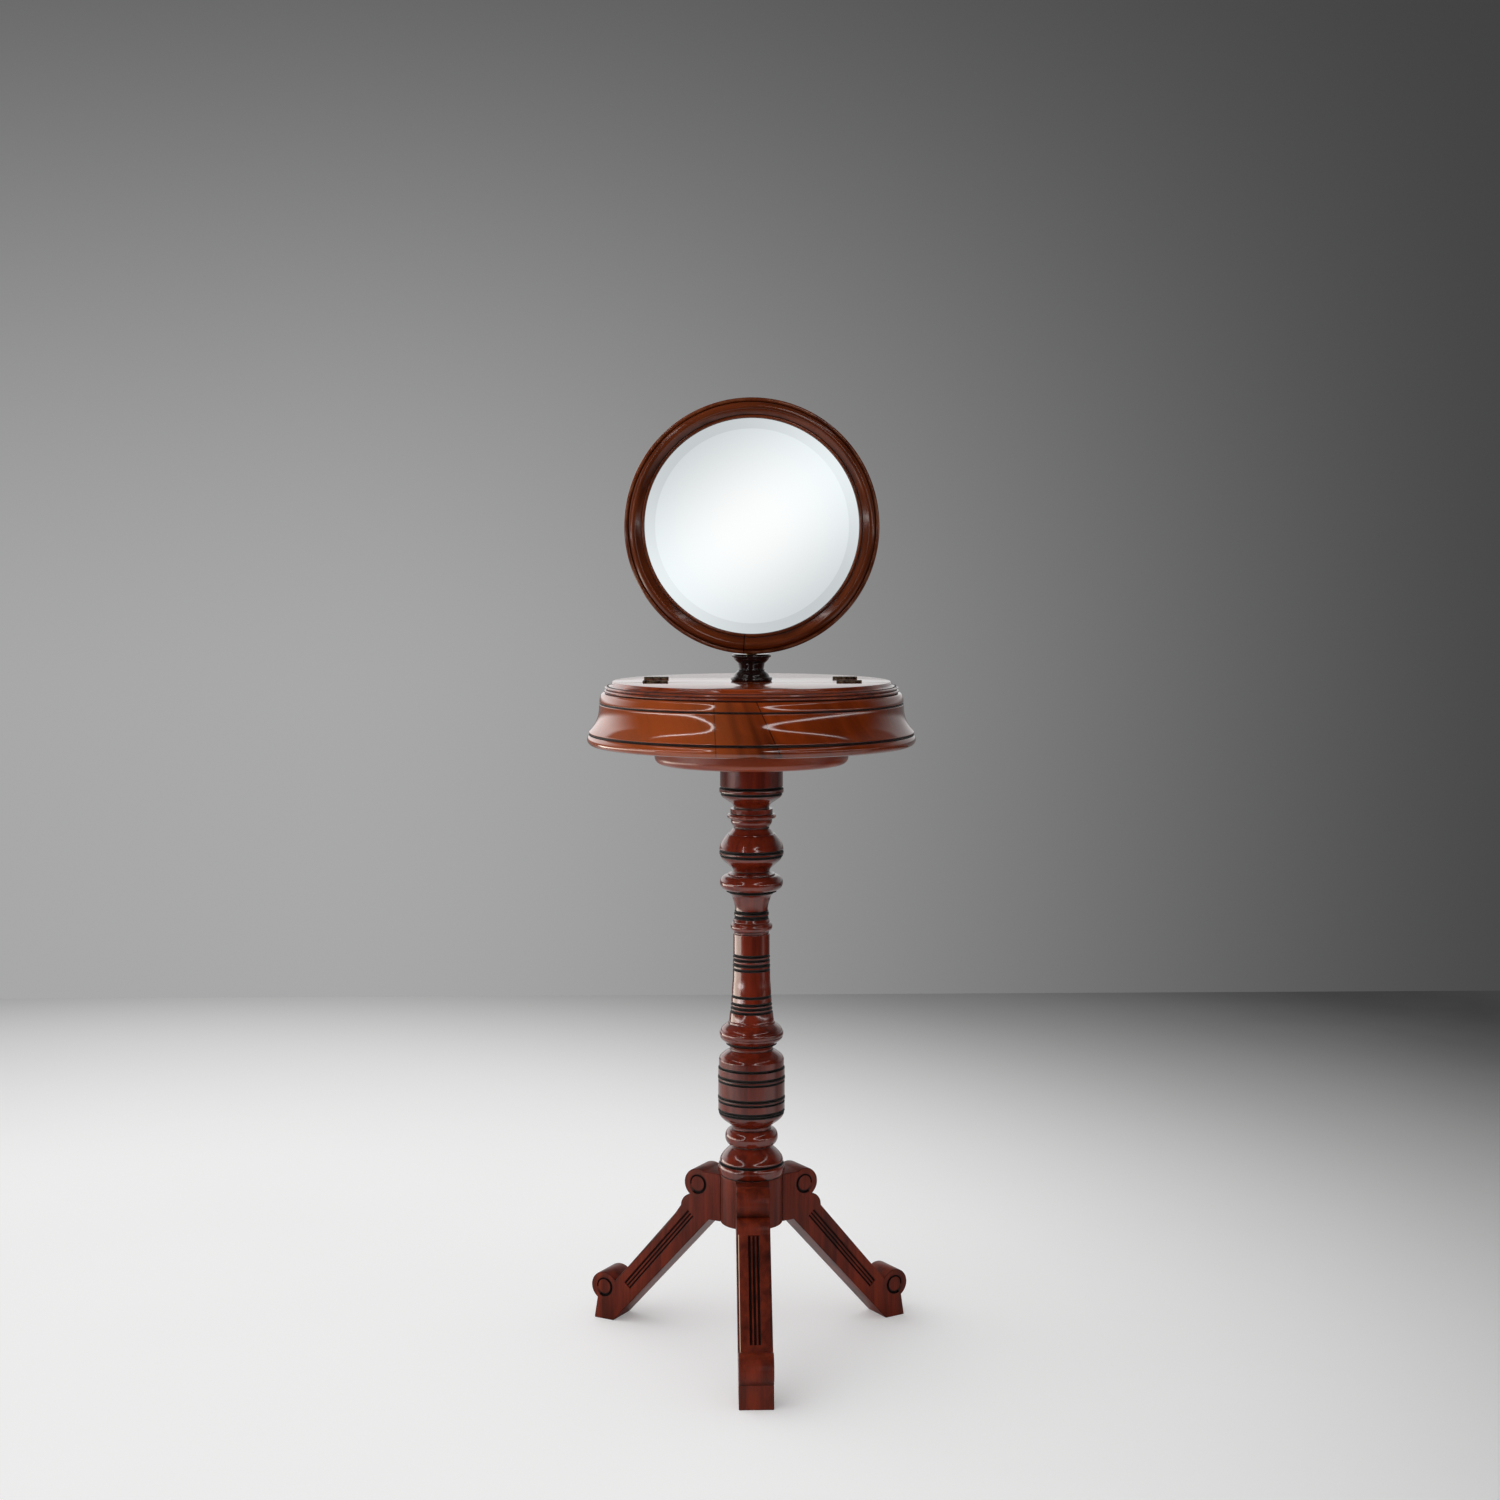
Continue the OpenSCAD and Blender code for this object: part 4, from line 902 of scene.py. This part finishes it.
def limb_place(p):
    """Distance down the limb's upper edge and depth under it, in millimetres, of a point in the leg's own frame."""
    run = (LIMB[1] - LIMB[0]).normalized()
    way = Vector((p.x, p.z)) / MM - LIMB[0]
    return way.dot(run), -way.dot(Vector((-run.y, run.x)))


def near_scroll(p, low, high):
    """Whether a point in the leg's own frame lies between two distances from a scroll's centre."""
    return any(low < (Vector((p.x, p.z)) / MM - centre).length < high for centre in SCROLLS)


def in_volute(p):
    return near_scroll(p, -1, 15.2)


def under_scroll(p, rise):
    """Whether a face lies on the lower half of a scroll's round, which is painted darker as shade."""
    return rise < -0.05 and near_scroll(p, 19, 20.5)


def carved(p):
    """Whether a point in the leg's own frame lies in a volute or in a side field."""
    along, deep = limb_place(p)
    return in_volute(p) or (-8 < along < 152 and 9 < deep < 24.5)


class STAND_OT_case(Operator):
    """Turn the case's side and bottom moulding, and finish the parts inside it"""

    bl_idname = "stand.case"
    bl_label = "Case"

    def execute(self, context):
        soft = context.scene.stand_case.softness / MM
        self.turn_side(soft)
        self.turn_moulding(soft)
        paint("under_disc", disc_mahogany())
        for node in ("case_floor", "front_partition", "rear_partition"):
            paint(node, inner_wood())
        return {"FINISHED"}

    def turn_side(self, soft):
        """A cove that widens to the foot, a small step, and a quarter round under the lids."""
        low, high = ends("case_side", Z)
        foot_r = ends("case_side", X)[1]
        inner = 180.0
        top_r = foot_r - 17.6
        neck_r, neck_z = top_r + 4, (high - low) * 0.75
        step_r, ledge = neck_r - 1.6, low + neck_z
        n = 30
        cove = [
            (neck_r + (foot_r - neck_r) * (1 - i / n) ** 2.6, low + 2.4 + (neck_z - 4) * i / n)
            for i in range(n + 1)
        ]
        shown = [
            (foot_r - 2, low), (foot_r, low + 1), *cove,
            (neck_r, ledge - 1.2), (step_r, ledge - 0.4), (step_r, ledge + 0.6),
            *arc(top_r - 1, ledge + 1.2, neck_r - top_r + 0.6, high - low - neck_z - 1.2, 0, 90, 12),
        ]
        # The cuts darken the foot, where the side meets the bottom moulding, and the step under the quarter round, as
        # painted shade.
        side = turned(
            "veneered_side", shown, [(inner, high), (inner, low)], 216, softness=soft,
            cuts=[(low - 1, low + 0.9), (ledge - 0.5, ledge + 0.7)],
        )
        dress(side, case_veneer(), "stand", ["case_side"])
        side.data.materials.append(inner_wood())
        for face in side.data.polygons:
            if face.center.xy.length / MM < inner + 0.5:
                face.material_index = 1

    def turn_moulding(self, soft):
        low, high = ends("base_moulding", Z)
        out = ends("base_moulding", X)[1]
        bead_r = (high - low) / 2
        neck_r = out - 4.2
        rebate_r, rebate_z, inner = 190.1, low + 3, 185.5
        shown = [
            (out - bead_r - 6, low), *arc(out - bead_r, low + bead_r, bead_r, bead_r, -90, 57, 21),
            (neck_r, high - 1.6), (neck_r, high),
        ]
        # The cut darkens the top, where the side stands on the moulding, as painted shade.
        moulding = turned(
            "bottom_moulding", shown, [(rebate_r, high), (rebate_r, rebate_z), (inner, rebate_z), (inner, low)],
            216, softness=soft, cuts=[(high - 1.2, high + 1)],
        )
        dress(moulding, case_veneer(), "stand", ["base_moulding"])


class STAND_OT_lids(Operator):
    """Finish the fixed strip and the two lids"""

    bl_idname = "stand.lids"
    bl_label = "Strip and lids"

    def execute(self, context):
        # Bands of the moulding, in millimetres above its foot, that are painted dark as shade: under the lid's edge
        # and in the moulding's creases.
        creases = ((0.2, 1.4), (4.9, 5.7), (8.5, 9.3))
        for node, body in (("centre_strip", "stand"), ("front_lid", "front_flap"), ("rear_lid", "rear_flap")):
            low, high = (corner.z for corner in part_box(node))

            def straight_edge(edge):
                a, b = (v.co for v in edge.verts)
                return min(a.z, b.z) > high - 0.05 * MM and abs(a.y - b.y) < 0.05 * MM and (a - b).length > 4 * MM

            bm, layer = rounded_copy(node, ((context.scene.stand_case.lid_edge, straight_edge),))
            for face in bm.faces:
                rise = (face.calc_center_median().z - low) / MM
                if any(bottom < rise < top for bottom, top in creases):
                    face[layer] = -0.45
            lid = finished(bm, "polished_" + node, 30)
            dress(lid, lid_mahogany(), body, [node])
        return {"FINISHED"}


class STAND_OT_collar(Operator):
    """Turn the ebonised collar"""

    bl_idname = "stand.collar"
    bl_label = "Collar"

    def execute(self, context):
        strip_top = ends("centre_strip", Z)[1]
        foot, top = ends("collar", Z)
        bore_r, spigot_r = 10.15, 15
        elements = [
            bead(5.4, 25, 27), straight(1, 23.6), fall(7.6, 23, 16.6), straight(1.4, 17.4),
            ogee(8.14, 16, 17), swell(6.66, 18, 22.9), bead(5, 23.3, 25.5),
        ]
        shown = [(25, strip_top)] + stacked(elements, strip_top) + [(23.3, top), (12, top)]
        collar = turned(
            "turned_collar", shown, [(bore_r, top), (bore_r, foot), (spigot_r, foot), (spigot_r, strip_top)], 96,
        )
        dress(collar, ebonised_wood(), "stand", ["collar"])
        return {"FINISHED"}


class STAND_OT_mirror(Operator):
    """Turn the ring frame and cut the bevelled mirror plate"""

    bl_idname = "stand.mirror"
    bl_label = "Mirror"

    def execute(self, context):
        steps = 240
        place = Matrix.Translation((0, -FRAME_BACK, MIRROR_Z)) @ Matrix.Rotation(radians(90), 4, "X")
        r = ends("mirror_frame", X)[1]
        deep, bead_r, slope_w = 20.0, 5.7 / 2, 6.5
        band_out = r - 5.7
        band_in = band_out - 9.8
        band_top = deep - 4.6
        slope_in = band_in - slope_w
        sight = slope_in - 3.7
        rebate_d, rebate_r = 10.5, sight + 6
        band = [
            ((band_out + band_in) / 2 + 4.9 * cos(a),
             band_top - 3.4 * cos(a / 2) + (deep - band_top) * sin(a))
            for a in (radians(degrees) for degrees in range(20, 161, 10))
        ]
        slope = [
            (slope_in + slope_w * 0.94 * s, band_top - 3.4 + 3.8 * s)
            for s in (1 - sin(radians(degrees)) for degrees in range(0, 91, 9))
        ]
        shown = [
            (r - 2, 0), (r, 2.4), *arc(r - bead_r, deep - 10.4, bead_r, bead_r, 0, 180, 14),
            (band_out, band_top - 5.6), (band_out - 0.4, band_top - 5), *band, *slope,
            *arc(slope_in - 1.85, rebate_d + 1.6, 1.85, 1.4, 0, 180, 9),
        ]
        ring = turned(
            "turned_frame", shown, [(sight, rebate_d), (rebate_r, rebate_d), (rebate_r, 0)], steps, place,
            softness=context.scene.stand_mirror.softness / MM,
        )
        dress(ring, frame_mahogany(), "mirror", ["mirror_frame"])
        front, back = ((-FRAME_BACK - corner.y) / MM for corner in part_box("mirror_glass"))
        edge = rebate_r - 0.5
        glass = spun(
            "bevelled_plate",
            [(0, back), (edge, back), (edge, front - 2.2), (sight, front - 1.8), (sight - 13.8, front), (0, front)],
            steps, 3, place,
        )
        dress(glass, silvered_glass(), "mirror", ["mirror_glass"])
        paint("back_board", inner_wood())
        return {"FINISHED"}


class STAND_OT_fittings(Operator):
    """Finish the brass, the steel and the hidden wooden parts"""

    bl_idname = "stand.fittings"
    bl_label = "Fittings"

    def execute(self, context):
        fittings = {
            "old_brass": ["fixed_hinge_leaves", "front_hinge_leaves", "rear_hinge_leaves", "hinge_pins",
                          "strip_hinge_screws", "front_lid_screws", "rear_lid_screws", "stop_ring",
                          "swivel_screw", "swivel_head", "tilt_bolt", "tilt_nut", "pivot_plate", "pivot_screws"],
            "bright_brass": ["guide_bush", "friction_sleeve", "rod", "friction_washers"],
            "steel": ["under_disc_screws", "stop_pin", "back_pins"],
        }
        for kind, nodes in fittings.items():
            for node in nodes:
                paint(node, metal(kind))
        paint("leg_dowels", inner_wood())
        return {"FINISHED"}


class STAND_OT_stage(Operator):
    """Set up the floor, the light and the camera"""

    bl_idname = "stand.stage"
    bl_label = "Stage"

    def execute(self, context):
        stage = context.scene.stand_stage
        self.lay_floor(stage)
        self.light(context.scene, stage)
        aside, off_centre, down = 0.075, 0.0007, 5.22
        camera = new_object("camera", bpy.data.cameras.new("camera"))
        camera.location = (-aside, -stage.distance, stage.height)
        turn = atan2(aside, stage.distance) - off_centre
        camera.rotation_euler = (radians(90 - down), 0, -turn)
        camera.data.lens = stage.focal_length
        camera.data.sensor_width = 36
        context.scene.camera = camera
        context.scene.view_settings.view_transform = "Standard"
        return {"FINISHED"}

    def lay_floor(self, stage):
        """A pale floor, painted dimmer away from a pool of light near the stand. It also glows, a painted light,
        brighter for the camera on the left and, in front, in the polish.
        """
        middle, half_size = (0, 0.385, 0), (4, 1.885, 1)
        pool_centre, bright_side = (-0.95, -0.55, 0), (-1.6, 0.2, 0)
        bm = bmesh.new()
        bmesh.ops.create_grid(bm, x_segments=2, y_segments=2, size=1)
        bmesh.ops.transform(bm, verts=bm.verts, matrix=Matrix.LocRotScale(middle, None, half_size))
        floor = finished(bm, "floor", 30)
        material, graph, shader = new_material("floor")
        where = graph.place()
        pool = graph.vector("MULTIPLY", where, (1.15, 1.0, 1.0))
        far = graph.spread(graph.vector("DISTANCE", pool, pool_centre), 1.3, 4.0)
        tint = graph.blend(far, rgba(stage.floor), (0.03, 0.03, 0.03, 1))
        mottle = graph.spread(graph.noise(where, 3.0, 3.0), 0.2, 0.8, 0.0, 0.03)
        lift = graph.spread(graph.vector("DISTANCE", where, bright_side), 1.6, 2.9, 0.21, 0.02)
        front = graph.parts(where)[Y]
        shine = graph.times(graph.spread(front, 0.1, -0.3, 0.0, 0.55), graph.spread(front, -1.3, -0.8))
        ray = graph.add("LightPath")
        glow = graph.plus(graph.times(lift, ray["Is Camera Ray"]), graph.times(shine, ray["Is Glossy Ray"]))
        graph.feed(shader, {
            "Base Color": graph.blend(mottle, tint, (0.5, 0.5, 0.5, 1)), "Roughness": 0.6,
            "Specular IOR Level": 0.0, "Emission Color": (1, 1, 1, 1), "Emission Strength": glow,
        })
        floor.data.materials.append(material)

    def light(self, scene, stage):
        """Soft light all round. Reflections show strips of light, and the silvered plate faces a white card."""
        scene.world = bpy.data.worlds.new("studio")
        scene.world.use_nodes = True
        graph = Graph(scene.world.node_tree)
        graph.tree.nodes.clear()
        x, y, z = graph.parts(graph.add("TexCoord")["Generated"])
        ray = graph.add("LightPath")
        fill = graph.spread(x, 0.6, -0.9, 0.35, 1.35)
        level = graph.mix(ray["Is Glossy Ray"], fill, self.reflections(graph, x, y, z))
        level = graph.mix(ray["Is Singular Ray"], level, self.card(graph, x, z))
        level = graph.times(level, stage.light)
        level = graph.mix(ray["Is Camera Ray"], level, self.wall(graph, x, z))
        shown = graph.add("CombineColor", {0: level, 1: level, 2: level})[0]
        graph.add("OutputWorld", {0: graph.add("Background", {"Color": shown})[0]})
        self.strip_light(5.5 * stage.light)

    def strip_light(self, radiance):
        """A soft box on the left that shows in the polish only."""
        where, width, height = Vector((-1.75, 0.35, 0.2)), 2.2, 0.38
        lamp = bpy.data.lights.new("left strip", "AREA")
        lamp.shape = "RECTANGLE"
        lamp.size, lamp.size_y = width, height
        lamp.energy = radiance * pi * width * height
        lamp.color = (1.0, 0.92, 0.8)
        strip = new_object("left strip", lamp)
        strip.location = where
        strip.rotation_euler = Vector((where.x, where.y, 0)).to_track_quat("Z", "Y").to_euler()
        strip.visible_diffuse = False
        strip.visible_camera = False

    def reflections(self, graph, x, y, z):
        """What the polish reflects: a dim room, strips of light round two dark panels, and a pale back wall."""
        height = graph.maths("ARCSINE", z)
        aside = graph.maths("ARCTAN2", x, graph.times(y, -1.0))

        def outline(tip, far, bottom, top, bluntness, line):
            """The edge of a panel that narrows to its tip. It fades towards the panel's far end."""
            u = graph.maths("DIVIDE", graph.minus(aside, radians(far)), radians(tip - far))
            v = graph.maths("DIVIDE", graph.minus(height, radians((bottom + top) / 2)),
                            radians((top - bottom) / 2))
            reach = graph.plus(graph.maths("POWER", graph.maths("MAXIMUM", u, 0.0), bluntness), graph.times(v, v))
            edge = graph.times(graph.spread(reach, 0.94, 1.02), graph.spread(reach, 1.06 + line, 1.0 + line))
            return graph.times(edge, graph.spread(u, 0.02, 0.5))

        left, right = outline(-32, -112, -3, 47, 7.0, 0.13), outline(13, 112, -3, 50, 2.0, 0.09)
        lines = graph.plus(left, graph.times(right, 0.6))
        foot, top, soft = radians(0.5), radians(26), radians(2.5)
        upright = graph.times(graph.spread(height, foot - soft, foot + soft),
                              graph.spread(height, top + soft, top - soft))
        sides = graph.plus(graph.spread(x, 0.7, -0.7, 0.4, 1.1), graph.spread(x, -0.2, -0.8, 0.0, 0.7))
        back = graph.times(graph.times(graph.spread(y, 0.05, 0.7), upright), sides)
        room = graph.spread(y, -0.1, 0.7, 0.015, 0.18)
        return graph.plus(graph.times(lines, 13.0), graph.plus(room, back))

    def card(self, graph, x, z):
        """What the silvered plate reflects: a white card, brightest along a slanting band, and dimmer outside."""
        aside, above = graph.minus(x, 0.027), graph.minus(z, 0.012)
        away = graph.reach(aside, above)
        off = graph.gap(graph.times(aside, 0.555), graph.times(above, 0.832))
        beyond = graph.maths("MAXIMUM", graph.maths("DIVIDE", away, 0.05), 1.0)
        glow = graph.spread(graph.maths("DIVIDE", off, beyond), 0.0, 0.064, 1.02, 0.645)
        return graph.times(glow, graph.spread(away, 0.07, 0.2, 1.0, 0.92))

    def wall(self, graph, x, z):
        """The plain grey wall that the camera sees, lighter on the left and towards the floor."""
        across = graph.spread(x, -0.19, 0.42, 1.0, 0.03)
        down = graph.spread(z, 0.34, -0.08, 0.16, 1.04)
        return graph.plus(graph.times(graph.times(across, down), 0.336), 0.045)


OPERATORS = (
    STAND_OT_column, STAND_OT_legs, STAND_OT_case, STAND_OT_lids, STAND_OT_collar, STAND_OT_mirror,
    STAND_OT_fittings, STAND_OT_stage,
)
SETTINGS = {
    "stand_column": ColumnSettings,
    "stand_legs": LegSettings,
    "stand_case": CaseSettings,
    "stand_mirror": MirrorSettings,
    "stand_wood": WoodSettings,
    "stand_stage": StageSettings,
}


class STAND_PT_panel(Panel):
    """Lists the stand's operators in the 3D view's sidebar"""

    bl_idname = "STAND_PT_panel"
    bl_label = "Shaving Stand"
    bl_space_type = "VIEW_3D"
    bl_region_type = "UI"
    bl_category = "Shaving Stand"

    def draw(self, context):
        for operator in OPERATORS:
            self.layout.operator(operator.bl_idname)
        for name, group in SETTINGS.items():
            box = self.layout.box()
            for key in group.__annotations__:
                box.prop(getattr(context.scene, name), key)


def register():
    for cls in (*SETTINGS.values(), *OPERATORS, STAND_PT_panel):
        bpy.utils.register_class(cls)
    for name, cls in SETTINGS.items():
        setattr(bpy.types.Scene, name, PointerProperty(type=cls))


def unregister():
    for name in SETTINGS:
        delattr(bpy.types.Scene, name)
    for cls in (STAND_PT_panel, *reversed(OPERATORS), *reversed(SETTINGS.values())):
        bpy.utils.unregister_class(cls)


def main():
    register()
    bpy.ops.stand.column()
    bpy.ops.stand.legs()
    bpy.ops.stand.case()
    bpy.ops.stand.lids()
    bpy.ops.stand.collar()
    bpy.ops.stand.mirror()
    bpy.ops.stand.fittings()
    bpy.ops.stand.stage()


if __name__ == "__main__":
    main()
